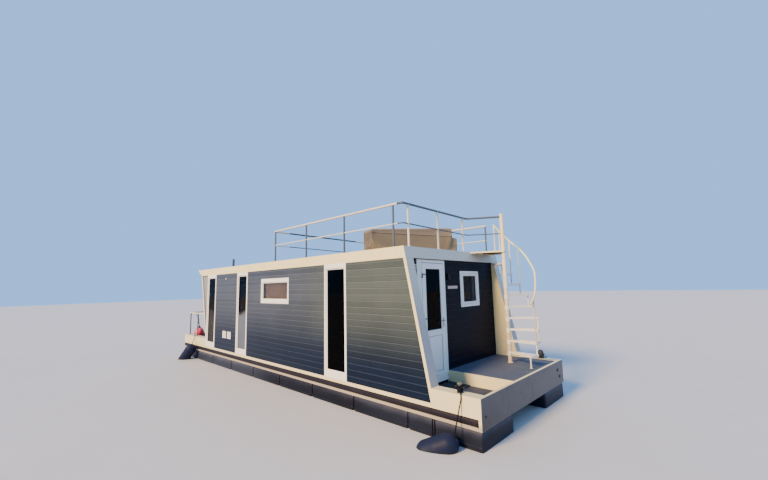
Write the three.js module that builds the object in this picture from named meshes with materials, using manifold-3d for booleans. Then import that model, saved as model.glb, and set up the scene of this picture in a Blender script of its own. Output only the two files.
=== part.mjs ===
// Houseboat on two floats, with a boarded cabin, a roof terrace and a spiral stair.
// Millimetres. +X runs forward to the stair end, +Y to port, +Z up.
// The origin lies amidships on the centreline, level with the undersides of the floats.

import * as THREE from "three";
import { mergeVertices } from "three/addons/utils/BufferGeometryUtils.js";
import Module from "manifold-3d";

const wasm = await Module();
wasm.setup();

// Overall sizes
const LENGTH = 12000;
const BEAM = 3420;
const BOW = LENGTH / 2;
const SIDE = BEAM / 2;
const FIT = 0.3; // gap between pieces that touch

// Levels above the undersides of the floats
const FRAME_BOTTOM = 680;
const STRIP_TOP = 730;
const STRAKE_TOP = 838;
const SILL_TOP = 905;
const PLATFORM_TOP = 1115;
const RIM_TOP = 1127;
const WALL_TOP = 3207;
const ROOF_TOP = 3416;
const MID_RAIL_Z = 3836;
const TOP_RAIL_Z = 4200;

// Floats
const FLOAT_WIDTH = 1000;
const FLOAT_INSET = 20;
const FLOAT_SEAMS = { first: -4770, pitch: 1344, count: 8 };
const SEAM_WIDTH = 32;
const SEAM_DEPTH = 28;

// Deck frame, bulwarks and strakes
const END_PLATE = 50;
const STRAKE_RECESS = 25;
const STRAKE_PROUD = 15;
const RIM_WIDTH = 200;
const PLATFORM_SIDE_Y = -488; // port edge of the walkway, starboard edge of the platform
const BOLLARD = { fromEnd: 390, stem: 28 }; // on the front rims
const CLEAT = { fromEnd: 640, stem: 12, spread: 35 }; // on the rear rims
const MAT = { x0: 4690, x1: 5120, thick: 22 };

// Cabin: side walls lie 10 behind the sill, and both ends lean aft towards the top
const FRONT_WALL_X = 4640;
const REAR_WALL_X = -4020;
const WALL = 120;
const SKIN = 40; // boarding that runs on over the front fins
const BOARD_SETBACK = 10;
const FIN = 210;
const BORDER = 60; // cream border along the slanted edges
const FRAME_PROUD = 32; // front door and window frames stand this far off the boarding
const FRONT_LEAN = 0.2088; // aft travel of the front edge for each unit of height
const FRONT_FOOT_X = 5146; // front edge at RIM_TOP
const REAR_FOOT_X = -4050;
const REAR_HEAD_X = -4615;
const ROOF_REAR_X = { bottom: -4610, top: -4950 };

// Full-height side windows: forward and aft edges of each frame
const TALL_WINDOWS = {
  right: [
    { name: "aft", x0: -4020, x1: -3320 },
    { name: "mid", x0: -1790, x1: -1130 },
    { name: "fore", x0: 2420, x1: 3130 },
  ],
  left: [
    { name: "aft", x0: -4020, x1: -3320 },
    { name: "fore", x0: 2420, x1: 3130 },
  ],
};
const SMALL_WINDOW = { x0: -340, x1: 1010, z0: 2350, z1: 2980 };
const SIDE_BARS = { tall: { side: 75, head: 115, foot: 150 }, small: { side: 75, head: 115, foot: 115 } };
const WINDOW_DEPTH = 90;
const GLASS = 24;

// Front wall: the door and its window, seen from outside with the door on the left
const DOOR = { y0: -1347, y1: -490, z0: 960, z1: 3195 };
const DOORWAY = { y0: -1227, y1: -540, z0: 1086, z1: 3135 }; // clear opening within its frame
const DOOR_LEAF = 56;
const LEAF_GAP = 6; // round a closed leaf, at its hinges, head and foot
const LATCH_GAP = 10;
const LEVER_Z = 2057;
const HINGE = { off: 16, radius: 9, half: 45, heights: [1300, 2100, 2900] };
const DOOR_PANE = { side: 104, top: 100, z0: 1900 };
const FRONT_WINDOW = { y0: 87, y1: 827, z0: 2260, z1: 3000 };
const FRONT_BARS = { side: 105, head: 105, foot: 105 };
const REAR_DOORS = { y0: -900, y1: 900, z0: 1000, z1: 3100 };
const REAR_DOORWAY = { y0: -840, y1: 840, z0: 1060, z1: 3040 };

// Spiral stair, with angles in degrees from +X, port-wards. Each tread's front corner stands on a post.
const POLE = { x: 5279, y: 847, radius: 40, top: 4210 };
const TREAD = { count: 9, reach: 605, first: -14, step: 18, half: 13, thick: 38, lowest: 1342, rise: 228 };
const TREAD_POST = { behind: 10, firstBehind: 12, inset: 22 };
// The handrail's path is a table of angle and height.
const HANDRAIL = [
  [-16, 2305],
  [-2, 2445],
  [8, 2600],
  [17, 2765],
  [28, 2930],
  [43, 3060],
  [64, 3300],
  [80, 3475],
  [95, 3615],
  [108, 3757],
  [121, 3908],
  [134, 4070],
];
const BALUSTER_TREADS = [1, 6, 7];
const LANDING_POSTS = [122, 133]; // angles
const LANDING_THICK = 32;
const BALUSTER_RADIUS = 13;
const HANDRAIL_RADIUS = 19;

// Railings
const POST_RADIUS = 19;
const TOP_RAIL_RADIUS = 21;
const MID_RAIL_RADIUS = 12;
const RAIL_INSET = 60;
const TERRACE = { rear: 200, front: 4620, port: 4490, bend: 500 };
const SIDE_POSTS = [262, 1653, 3018];
const STARBOARD_LAST_POST = 4393;
const FRONT_POSTS = [-1500, -590, 340];
const RAIL_FALL = 0.02; // drop of the terrace rails for each unit towards port
const REAR_RAIL_TOP = 1906;
const REAR_RAIL_INSET = 100;
const REAR_RAIL_POSTS = [-5788, -5070];

// Furniture under its cover, turned a little on the terrace
const COVER = { x: 3257, y: -1094, turn: -19, width: 2317, depth: 450, low: 455 };
const COVER_BACK = { y0: 10, y1: 2167, inset: 30, lowEnd: 560, highEnd: 692 };

// Fenders: a table for the starboard side. Each body runs between the centres of its round ends. Its line
// runs from the point where it is tied in, over the rim at rimX, to the stem of a bollard or cleat.
const FENDERS = [
  {
    name: "front_fender",
    low: [5260, -2026, 341],
    high: [5553, -1906, 475],
    radius: 159,
    tie: [5645, -1872, 575],
    rimX: 5690,
    stemX: BOW - BOLLARD.fromEnd,
    stem: BOLLARD.stem,
  },
  {
    name: "rear_fender",
    low: [-5151, -2027, 330],
    high: [-4801, -1900, 748],
    radius: 165,
    tie: [-4790, -1885, 850],
    rimX: -5000,
    stemX: -BOW + CLEAT.fromEnd + CLEAT.spread,
    stem: CLEAT.stem,
  },
];
const LINE_RADIUS = 10;

// Ball buoy hung inside the rear bulwark: a table of radius and height, from the bottom up
const BUOY = { x: -5780, y: -1300, eye: 1385, ties: [-1385, -1325] };
const BUOY_PROFILE = [
  [0, 972],
  [70, 982],
  [122, 1022],
  [155, 1080],
  [165, 1145],
  [155, 1210],
  [122, 1275],
  [70, 1330],
  [34, 1358],
  [26, 1378],
  [26, 1402],
  [0, 1408],
];

// Vent pipe, and the lamp on the front wall
const VENT = { x: -2800, y: -1400, height: 272, radius: 37, collar: 62 };
const LAMP = { proud: 60, y0: -410, y1: -350, z0: 2815, z1: 2945 };

// Colours
const CREAM = material(0xe6dac0, 0.5, 0.1);
const WHITE = material(0xeeece6, 0.4, 0);
const BOARDING = material(0x343a46, 0.65, 0);
const FLOAT_BLACK = material(0x23252b, 0.55, 0);
const RUBBER = material(0x4a3c40, 0.8, 0);
const DECK_GREY = material(0x6d7078, 0.8, 0);
const MAT_GREY = material(0x23262c, 0.95, 0);
const PANE = material(0x3c4648, 0.08, 0);
const STEEL = material(0xcfcfca, 0.3, 0.8);
const COVER_TAUPE = material(0x86705f, 0.9, 0);
const FENDER_BLUE = material(0x1d2030, 0.6, 0);
const RED = material(0xc23340, 0.6, 0);

const houseboat = new THREE.Group();

function material(color, roughness, metalness) {
  return new THREE.MeshStandardMaterial({ color, roughness, metalness });
}

// Adds one named piece to the boat.
function add(name, geometry, finish) {
  const mesh = new THREE.Mesh(geometry, finish);
  mesh.name = name;
  houseboat.add(mesh);
  return mesh;
}

function solid(geometry) {
  const bare = geometry.clone();
  bare.deleteAttribute("normal");
  bare.deleteAttribute("uv");
  const merged = mergeVertices(bare, 1e-3);
  return new wasm.Manifold(
    new wasm.Mesh({
      numProp: 3,
      vertProperties: merged.attributes.position.array,
      triVerts: new Uint32Array(merged.index.array),
    }),
  );
}

function geometryOf(manifold) {
  const mesh = manifold.getMesh();
  const geometry = new THREE.BufferGeometry();
  geometry.setAttribute("position", new THREE.BufferAttribute(mesh.vertProperties, 3));
  geometry.setIndex(new THREE.BufferAttribute(mesh.triVerts, 1));
  return geometry;
}

function join(...pieces) {
  return geometryOf(pieces.map(solid).reduce((whole, piece) => whole.add(piece)));
}

function cut(body, ...tools) {
  return geometryOf(tools.map(solid).reduce((rest, tool) => rest.subtract(tool), solid(body)));
}

function box(x0, x1, y0, y1, z0, z1) {
  const geometry = new THREE.BoxGeometry(x1 - x0, y1 - y0, z1 - z0);
  return geometry.translate((x0 + x1) / 2, (y0 + y1) / 2, (z0 + z1) / 2);
}

// An outline of [a, b] points drawn out along one axis: X takes (y, z), Y takes (x, z), Z takes (x, y).
function prism(axis, outline, from, to) {
  const shape = new THREE.Shape(outline.map(([a, b]) => new THREE.Vector2(a, b)));
  const geometry = new THREE.ExtrudeGeometry(shape, { depth: to - from, bevelEnabled: false });
  if (axis === "X") {
    const turn = new THREE.Matrix4().makeBasis(
      new THREE.Vector3(0, 1, 0),
      new THREE.Vector3(0, 0, 1),
      new THREE.Vector3(1, 0, 0),
    );
    return geometry.applyMatrix4(turn).translate(from, 0, 0);
  }
  if (axis === "Y") return geometry.rotateX(Math.PI / 2).translate(0, to, 0);
  return geometry.translate(0, 0, from);
}

// A straight round bar between two [x, y, z] points.
function bar(from, to, radius, sides = 10) {
  const a = new THREE.Vector3(...from);
  const b = new THREE.Vector3(...to);
  const geometry = new THREE.CylinderGeometry(radius, radius, a.distanceTo(b), sides);
  const way = new THREE.Vector3().subVectors(b, a).normalize();
  geometry.applyQuaternion(new THREE.Quaternion().setFromUnitVectors(new THREE.Vector3(0, 1, 0), way));
  const middle = a.add(b).multiplyScalar(0.5);
  return geometry.translate(middle.x, middle.y, middle.z);
}

function ball(at, radius) {
  return new THREE.SphereGeometry(radius, 10, 6).translate(...at);
}

// Bars through a list of points, with a round joint at each bend.
function bars(points, radius, sides = 10) {
  const pieces = [];
  points.slice(1).forEach((point, i) => pieces.push(bar(points[i], point, radius, sides)));
  points.slice(1, -1).forEach((point) => pieces.push(ball(point, radius * 1.01)));
  return pieces;
}

// Moves an outline drawn for the starboard side (-Y) to the side asked for.
function sideways(side, y0, y1) {
  return side === "right" ? [y0, y1] : [-y1, -y0];
}

const SIDES = ["right", "left"];

// Floats

function float(side) {
  const outer = -SIDE + FLOAT_INSET;
  const inner = outer + FLOAT_WIDTH;
  const section = (inset) => {
    const points = [
      [outer + inset, FRAME_BOTTOM - FIT],
      [outer + inset, 475],
      [outer + inset - 14, 462],
      [outer + inset - 14, 442],
      [outer + inset, 428],
      [outer + inset, 110],
      [outer + 90, inset],
      [inner - 90, inset],
      [inner - inset, 110],
      [inner - inset, FRAME_BOTTOM - FIT],
    ];
    return side === "right" ? points : points.map(([y, z]) => [-y, z]).reverse();
  };
  const segments = [];
  let from = -BOW + SEAM_WIDTH / 2;
  for (let i = 0; i <= FLOAT_SEAMS.count; i++) {
    const seam = i < FLOAT_SEAMS.count ? FLOAT_SEAMS.first + i * FLOAT_SEAMS.pitch : BOW;
    segments.push(prism("X", section(0), from, seam - SEAM_WIDTH / 2));
    from = seam + SEAM_WIDTH / 2;
  }
  const core = prism("X", section(SEAM_DEPTH), -BOW + SEAM_WIDTH, BOW - SEAM_WIDTH);
  return join(core, ...segments);
}

for (const side of SIDES) add("float_" + side, float(side), FLOAT_BLACK);

// Deck frame, with a recess along each side for its rubbing strake

const frameEnd = BOW - END_PLATE - FIT;
const recessY = SIDE - STRAKE_RECESS;
const frameSection = [
  [-SIDE, FRAME_BOTTOM],
  [SIDE, FRAME_BOTTOM],
  [SIDE, STRIP_TOP],
  [recessY, STRIP_TOP],
  [recessY, STRAKE_TOP],
  [SIDE, STRAKE_TOP],
  [SIDE, SILL_TOP],
  [-SIDE, SILL_TOP],
  [-SIDE, STRAKE_TOP],
  [-recessY, STRAKE_TOP],
  [-recessY, STRIP_TOP],
  [-SIDE, STRIP_TOP],
];
add("deck_frame", prism("X", frameSection, -frameEnd, frameEnd), CREAM);

// Rubbing strake: a D section with its flat back in the recess

function strake(side) {
  const back = recessY + FIT;
  const low = STRIP_TOP + FIT;
  const high = STRAKE_TOP - FIT;
  const middle = (low + high) / 2;
  const half = (high - low) / 2;
  const depth = STRAKE_RECESS + STRAKE_PROUD - FIT;
  const outline = [[back, low]];
  for (let i = 0; i <= 8; i++) {
    const angle = -Math.PI / 2 + (i * Math.PI) / 8;
    outline.push([back + 8 + (depth - 8) * Math.cos(angle), middle + half * Math.sin(angle)]);
  }
  outline.push([back, high]);
  const points = side === "left" ? outline : outline.map(([y, z]) => [-y, z]).reverse();
  return prism("X", points, -frameEnd + 8, frameEnd - 8);
}

for (const side of SIDES) add("rubbing_strake_" + side, strake(side), RUBBER);

// Bulwarks: an end plate across the boat, and rims along the sides with a bollard or cleat on each

function frontEdge(z) {
  return FRONT_FOOT_X - (z - RIM_TOP) * FRONT_LEAN;
}

function rearEdge(z) {
  return REAR_FOOT_X + ((z - RIM_TOP) * (REAR_HEAD_X - REAR_FOOT_X)) / (WALL_TOP - RIM_TOP);
}

function bollard(x, y) {
  const stem = bar([x, y, RIM_TOP - 20], [x, y, RIM_TOP + 130], BOLLARD.stem, 12);
  const head = bar([x, y, RIM_TOP + 115], [x, y, RIM_TOP + 145], 42, 12);
  const pin = bar([x - 75, y, RIM_TOP + 78], [x + 75, y, RIM_TOP + 78], 14, 8);
  return [stem, head, pin];
}

function cleat(x, y) {
  const horn = bar([x - 100, y, RIM_TOP + 42], [x + 100, y, RIM_TOP + 42], 13, 8);
  const stems = [-CLEAT.spread, CLEAT.spread].map((away) => {
    return bar([x + away, y, RIM_TOP - 20], [x + away, y, RIM_TOP + 42], CLEAT.stem, 8);
  });
  return [horn, ...stems];
}

function bulwark(end) {
  const plate = box(BOW - END_PLATE, BOW, -SIDE, SIDE, FRAME_BOTTOM, RIM_TOP);
  const pieces = [plate];
  for (const side of SIDES) {
    const [y0, y1] = sideways(side, -SIDE, -SIDE + RIM_WIDTH);
    const foot = end === "front" ? frontEdge(SILL_TOP) + FIT : -REAR_WALL_X + FIT;
    const head = end === "front" ? frontEdge(RIM_TOP) + FIT : -REAR_WALL_X + FIT;
    const rim = [
      [foot, SILL_TOP + FIT],
      [BOW - 1, SILL_TOP + FIT],
      [BOW - 1, RIM_TOP],
      [head, RIM_TOP],
    ];
    const y = (y0 + y1) / 2;
    const fitting = end === "front" ? bollard(BOW - BOLLARD.fromEnd, y) : cleat(BOW - CLEAT.fromEnd, y);
    pieces.push(prism("Y", rim, y0, y1), ...fitting);
  }
  const whole = join(...pieces);
  return end === "front" ? whole : whole.rotateZ(Math.PI);
}

add("front_bulwark", bulwark("front"), CREAM);
add("rear_bulwark", bulwark("rear"), CREAM);

// Raised platform beside the walkway, and the mat in front of the door

const platform = box(
  FRONT_WALL_X + FIT,
  BOW - END_PLATE - FIT,
  PLATFORM_SIDE_Y,
  SIDE - RIM_WIDTH - FIT,
  SILL_TOP + FIT,
  PLATFORM_TOP,
);
const finFoot = prism(
  "Y",
  [
    [FRONT_WALL_X, SILL_TOP],
    [frontEdge(SILL_TOP) + FIT, SILL_TOP],
    [frontEdge(PLATFORM_TOP + 1) + FIT, PLATFORM_TOP + 1],
    [FRONT_WALL_X, PLATFORM_TOP + 1],
  ],
  SIDE - FIN - FIT,
  SIDE,
);
add("front_platform", cut(platform, finFoot), DECK_GREY);

const matY = { y0: -SIDE + RIM_WIDTH + 25, y1: PLATFORM_SIDE_Y - 25 };
const matLow = SILL_TOP + FIT;
add("door_mat", box(MAT.x0, MAT.x1, matY.y0, matY.y1, matLow, matLow + MAT.thick), MAT_GREY);

// Side panels between the full-height windows

const wallLow = SILL_TOP + FIT;
const wallHigh = WALL_TOP - FIT;

function panelOutline(x0, x1) {
  return [
    [x0, wallLow],
    [x1, wallLow],
    [x1, wallHigh],
    [x0, wallHigh],
  ];
}

function sidePanel(side, x0, x1) {
  const face = -SIDE + BOARD_SETBACK;
  const [y0, y1] = sideways(side, face, face + WALL);
  if (x1 < FRONT_WALL_X - FIT) return prism("Y", panelOutline(x0, x1), y0, y1);
  const [s0, s1] = sideways(side, face, face + SKIN);
  const skin = panelOutline(x0, 0);
  skin[1][0] = frontEdge(wallLow) - BORDER - FIT;
  skin[2][0] = frontEdge(wallHigh) - BORDER - FIT;
  return join(prism("Y", panelOutline(x0, x1), y0, y1), prism("Y", skin, s0, s1));
}

for (const side of SIDES) {
  const windows = TALL_WINDOWS[side];
  windows.forEach((window, i) => {
    const next = windows[i + 1];
    const x0 = window.x1 + FIT;
    const x1 = (next ? next.x0 : FRONT_WALL_X - WALL) - FIT;
    let panel = sidePanel(side, x0, next ? x1 : FRONT_WALL_X - FIT);
    if (x0 < SMALL_WINDOW.x0 && x1 > SMALL_WINDOW.x1) {
      const w = SMALL_WINDOW;
      panel = cut(panel, box(w.x0 - FIT, w.x1 + FIT, -SIDE * 2, SIDE * 2, w.z0 - FIT, w.z1 + FIT));
    }
    add("side_panel_" + side + "_" + window.name, panel, BOARDING);
  });
}

// Windows: a frame with its bars, and the glass within it, in the plane across the given axis

function rectangle(a0, a1, z0, z1) {
  return [[a0, z0], [a1, z0], [a1, z1], [a0, z1]];
}

function windowFrame(axis, a0, a1, z0, z1, from, to, bars) {
  const hole = rectangle(a0 + bars.side, a1 - bars.side, z0 + bars.foot, z1 - bars.head);
  return cut(prism(axis, rectangle(a0, a1, z0, z1), from, to), prism(axis, hole, from - 1, to + 1));
}

function windowGlass(axis, a0, a1, z0, z1, middle, bars) {
  const side = bars.side + FIT;
  const outline = rectangle(a0 + side, a1 - side, z0 + bars.foot + FIT, z1 - bars.head - FIT);
  return prism(axis, outline, middle - GLASS / 2, middle + GLASS / 2);
}

for (const side of SIDES) {
  const [y0, y1] = sideways(side, -SIDE, -SIDE + WINDOW_DEPTH);
  const middle = (y0 + y1) / 2;
  const bars = SIDE_BARS.tall;
  const tall = TALL_WINDOWS[side].map((w) => ({ ...w, z0: wallLow, z1: wallHigh, bars }));
  for (const w of [...tall, { ...SMALL_WINDOW, name: "small", bars: SIDE_BARS.small }]) {
    const name = "window_" + side + "_" + w.name;
    add(name, windowFrame("Y", w.x0, w.x1, w.z0, w.z1, y0, y1, w.bars), WHITE);
    add(name + "_glass", windowGlass("Y", w.x0, w.x1, w.z0, w.z1, middle, w.bars), PANE);
  }
}

// Fins: the cream ends of the side walls, with the boarding let into the front pair

function frontFin(side) {
  const [y0, y1] = sideways(side, -SIDE, -SIDE + FIN);
  const outline = [
    [FRONT_WALL_X + FIT, wallLow],
    [frontEdge(wallLow), wallLow],
    [frontEdge(wallHigh), wallHigh],
    [FRONT_WALL_X + FIT, wallHigh],
  ];
  const [p0, p1] = sideways(side, -SIDE - 1, -SIDE + BOARD_SETBACK + SKIN + FIT);
  const pocket = [
    [FRONT_WALL_X - 1, wallLow - 1],
    [frontEdge(wallLow - 1) - BORDER, wallLow - 1],
    [frontEdge(wallHigh + 1) - BORDER, wallHigh + 1],
    [FRONT_WALL_X - 1, wallHigh + 1],
  ];
  return cut(prism("Y", outline, y0, y1), prism("Y", pocket, p0, p1));
}

function rearFin(side) {
  const [y0, y1] = sideways(side, -SIDE, -SIDE + FIN);
  const front = REAR_WALL_X - FIT;
  const outline = [
    [rearEdge(RIM_TOP + FIT), RIM_TOP + FIT],
    [front, RIM_TOP + FIT],
    [front, wallHigh],
    [rearEdge(wallHigh), wallHigh],
  ];
  const [p0, p1] = sideways(side, -SIDE - 1, -SIDE + 45);
  const pocket = [
    [front + 1, RIM_TOP + 250],
    [front + 1, wallHigh - 1],
    [rearEdge(wallHigh - 1) + BORDER, wallHigh - 1],
    [rearEdge(RIM_TOP + 250) + BORDER, RIM_TOP + 250],
  ];
  return cut(prism("Y", outline, y0, y1), prism("Y", pocket.reverse(), p0, p1));
}

for (const side of SIDES) {
  add("front_fin_" + side, frontFin(side), CREAM);
  add("rear_fin_" + side, rearFin(side), CREAM);
}

// Front wall, between the side walls, with its door opening and window opening

const innerSide = SIDE - BOARD_SETBACK - WALL - FIT;
const doorHole = box(
  FRONT_WALL_X - WALL - 1,
  FRONT_WALL_X + 1,
  DOOR.y0 - FIT,
  DOOR.y1 + FIT,
  DOOR.z0 - FIT,
  DOOR.z1 + FIT,
);
const frontWindowHole = box(
  FRONT_WALL_X - WALL - 1,
  FRONT_WALL_X + 1,
  FRONT_WINDOW.y0 - FIT,
  FRONT_WINDOW.y1 + FIT,
  FRONT_WINDOW.z0 - FIT,
  FRONT_WINDOW.z1 + FIT,
);
const frontWall = box(FRONT_WALL_X - WALL, FRONT_WALL_X, -innerSide, innerSide, wallLow, wallHigh);
add("front_wall", cut(frontWall, doorHole, frontWindowHole), BOARDING);

// A door frame: two posts, a head and a threshold round a clear opening

function doorFrame(x0, x1, d, clear) {
  const outer = box(x0, x1, d.y0, d.y1, d.z0, d.z1);
  return cut(outer, box(x0 - 1, x1 + 1, clear.y0, clear.y1, clear.z0, clear.z1));
}

const frontHinge = {
  x: FRONT_WALL_X + FRAME_PROUD + HINGE.off,
  y: DOORWAY.y0 + LEAF_GAP / 2,
};
add(
  "front_door_frame",
  join(
    doorFrame(FRONT_WALL_X - WALL, FRONT_WALL_X + FRAME_PROUD, DOOR, DOORWAY),
    ...knuckles("frame", frontHinge.x, frontHinge.y, FRONT_WALL_X + 20, frontHinge.y - 18),
  ),
  WHITE,
);

// A door leaf with a hole for its pane, a lever on both faces, and hinge knuckles on its outer face

function doorLeaf(x0, x1, leaf, pane, leverY) {
  const body = box(x0, x1, leaf.y0, leaf.y1, leaf.z0, leaf.z1);
  const hole = box(x0 - 1, x1 + 1, pane.y0 - FIT, pane.y1 + FIT, pane.z0 - FIT, pane.z1 + FIT);
  const middle = leverY + (leverY > (leaf.y0 + leaf.y1) / 2 ? -110 : 110);
  const grips = [];
  for (const [face, out] of [[x0, -1], [x1, 1]]) {
    const far = face + out * 45;
    grips.push(bar([face - out * 5, leverY, LEVER_Z], [far, leverY, LEVER_Z], 9, 8));
    grips.push(ball([far, leverY, LEVER_Z], 9.2), bar([far, leverY, LEVER_Z], [far, middle, LEVER_Z], 9, 8));
  }
  return join(cut(body, hole), ...grips);
}

// Hinge knuckles on the axis at x, y. Each door knuckle stands on a frame knuckle, and both are tied to
// the wood behind them, the door's on one side of the axis and the frame's on the other.
function knuckles(part, x, y, backX, woodY) {
  return HINGE.heights.flatMap((z) => {
    const low = part === "door" ? z + FIT / 2 : z - HINGE.half;
    const high = part === "door" ? z + HINGE.half : z - FIT / 2;
    const [x0, x1] = [Math.min(x, backX), Math.max(x, backX)];
    const [y0, y1] = [Math.min(y, woodY), Math.max(y, woodY)];
    const plate = box(x0, x1, y0, y1, low, high);
    return [bar([x, y, low], [x, y, high], HINGE.radius, 12), plate];
  });
}

const leafX = { x0: FRONT_WALL_X - 20, x1: FRONT_WALL_X - 20 + DOOR_LEAF };
const leaf = {
  y0: DOORWAY.y0 + LEAF_GAP,
  y1: DOORWAY.y1 - LATCH_GAP,
  z0: DOORWAY.z0 + LEAF_GAP,
  z1: DOORWAY.z1 - LEAF_GAP,
};
const pane = {
  y0: leaf.y0 + DOOR_PANE.side,
  y1: leaf.y1 - DOOR_PANE.side,
  z0: DOOR_PANE.z0,
  z1: leaf.z1 - DOOR_PANE.top,
};
add(
  "front_door",
  join(
    doorLeaf(leafX.x0, leafX.x1, leaf, pane, leaf.y1 - 50),
    ...knuckles("door", frontHinge.x, frontHinge.y, leafX.x1 - 10, frontHinge.y + 18),
  ),
  WHITE,
);
const paneX = (leafX.x0 + leafX.x1) / 2;
add(
  "front_door_glass",
  box(paneX - GLASS / 2, paneX + GLASS / 2, pane.y0, pane.y1, pane.z0, pane.z1),
  PANE,
);

const fw = FRONT_WINDOW;
const frontWindowX = { x0: FRONT_WALL_X - WINDOW_DEPTH, x1: FRONT_WALL_X + FRAME_PROUD };
add(
  "front_window",
  windowFrame("X", fw.y0, fw.y1, fw.z0, fw.z1, frontWindowX.x0, frontWindowX.x1, FRONT_BARS),
  WHITE,
);
add(
  "front_window_glass",
  windowGlass("X", fw.y0, fw.y1, fw.z0, fw.z1, (frontWindowX.x0 + frontWindowX.x1) / 2, FRONT_BARS),
  PANE,
);

// Rear wall, with a pair of glazed doors onto the rear deck

const rearX = { x0: REAR_WALL_X, x1: REAR_WALL_X + WALL };
const rearHole = box(
  rearX.x0 - 1,
  rearX.x1 + 1,
  REAR_DOORS.y0 - FIT,
  REAR_DOORS.y1 + FIT,
  REAR_DOORS.z0 - FIT,
  REAR_DOORS.z1 + FIT,
);
const rearInner = SIDE - WINDOW_DEPTH - FIT;
const rearWall = box(rearX.x0, rearX.x1, -rearInner, rearInner, wallLow, wallHigh);
add("rear_wall", cut(rearWall, rearHole), BOARDING);
const rearFace = REAR_WALL_X - 12;
const rearHinge = { x: rearFace - HINGE.off, y: REAR_DOORWAY.y1 - LEAF_GAP / 2 };
const rearKnuckles = [-1, 1].flatMap((sign) => {
  const y = sign * rearHinge.y;
  return knuckles("frame", rearHinge.x, y, rearFace + 12, y + sign * 18);
});
add("rear_door_frame", join(doorFrame(rearFace, rearX.x1, REAR_DOORS, REAR_DOORWAY), ...rearKnuckles), WHITE);

for (const side of SIDES) {
  const sign = side === "right" ? -1 : 1;
  const [y0, y1] = sideways(side, REAR_DOORWAY.y0 + LEAF_GAP, -LATCH_GAP / 2);
  const rear = {
    y0,
    y1,
    z0: REAR_DOORWAY.z0 + LEAF_GAP,
    z1: REAR_DOORWAY.z1 - LEAF_GAP,
  };
  const rearPane = { y0: y0 + 100, y1: y1 - 100, z0: rear.z0 + 140, z1: rear.z1 - 100 };
  const x0 = REAR_WALL_X - 16;
  const leverY = side === "right" ? y1 - 50 : y0 + 50;
  const hingeY = sign * rearHinge.y;
  const rearLeaf = join(
    doorLeaf(x0, x0 + DOOR_LEAF, rear, rearPane, leverY),
    ...knuckles("door", rearHinge.x, hingeY, x0 + 10, hingeY - sign * 18),
  );
  add("rear_door_" + side, rearLeaf, WHITE);
  const glassX = x0 + DOOR_LEAF / 2;
  add(
    "rear_door_" + side + "_glass",
    box(glassX - GLASS / 2, glassX + GLASS / 2, rearPane.y0, rearPane.y1, rearPane.z0, rearPane.z1),
    PANE,
  );
}

// Roof: one slab with leaning ends

const roofOutline = [
  [ROOF_REAR_X.bottom, WALL_TOP],
  [frontEdge(WALL_TOP), WALL_TOP],
  [frontEdge(ROOF_TOP), ROOF_TOP],
  [ROOF_REAR_X.top, ROOF_TOP],
];
add("roof", prism("Y", roofOutline, -SIDE, SIDE), CREAM);

// Spiral stair

const DEGREE = Math.PI / 180;

function aroundPole(angle, radius, z) {
  return [POLE.x + radius * Math.cos(angle * DEGREE), POLE.y + radius * Math.sin(angle * DEGREE), z];
}

function treadTop(index) {
  return TREAD.lowest + TREAD.rise * index;
}

function treadAngle(index) {
  return TREAD.first + TREAD.step * index;
}

const poleFoot = PLATFORM_TOP + FIT;
add(
  "stair_pole",
  join(
    bar([POLE.x, POLE.y, poleFoot], [POLE.x, POLE.y, POLE.top], POLE.radius, 16),
    bar([POLE.x, POLE.y, poleFoot], [POLE.x, POLE.y, poleFoot + 12], 95, 16),
  ),
  CREAM,
);

// Each tread is a wedge with a sleeve round the pole, and a post ties its outer end to the tread below.
function treads() {
  const pieces = [];
  for (let i = 0; i < TREAD.count; i++) {
    const top = treadTop(i);
    const low = top - TREAD.thick;
    const angle = treadAngle(i);
    const wedge = [
      aroundPole(angle - 80, 44, 0),
      aroundPole(angle - TREAD.half, TREAD.reach, 0),
      aroundPole(angle + TREAD.half, TREAD.reach, 0),
      aroundPole(angle + 80, 44, 0),
    ].map(([x, y]) => [x, y]);
    pieces.push(prism("Z", wedge, low, top));
    pieces.push(bar([POLE.x, POLE.y, low - 45], [POLE.x, POLE.y, top], 54, 16));
    const behind = i === 0 ? TREAD_POST.firstBehind : TREAD_POST.behind;
    const post = aroundPole(angle - behind, TREAD.reach - TREAD_POST.inset, 0);
    const foot = i === 0 ? PLATFORM_TOP + FIT : treadTop(i - 1) - 10;
    pieces.push(bar([post[0], post[1], foot], [post[0], post[1], low + 5], BALUSTER_RADIUS + 2, 8));
  }
  const bore = bar([POLE.x, POLE.y, 0], [POLE.x, POLE.y, POLE.top + 100], POLE.radius + FIT, 16);
  return cut(join(...pieces), bore);
}

add("stair_treads", treads(), CREAM);

// Landing plate from the roof's leaning edge to the pole
const landingEdgeX = frontEdge(ROOF_TOP);
const landing = [
  [landingEdgeX, POLE.y - 340],
  [POLE.x + 44, POLE.y - 60],
  [POLE.x + 44, POLE.y + 50],
  [POLE.x - 300, POLE.y + 570],
  [landingEdgeX, POLE.y + 570],
];
add(
  "stair_landing",
  cut(
    prism("Z", landing, ROOF_TOP - LANDING_THICK, ROOF_TOP),
    bar([POLE.x, POLE.y, 3000], [POLE.x, POLE.y, 4000], POLE.radius + FIT, 16),
    prism("Y", roofOutline, -SIDE, SIDE).translate(FIT * 2, 0, 0),
  ),
  CREAM,
);

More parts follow.
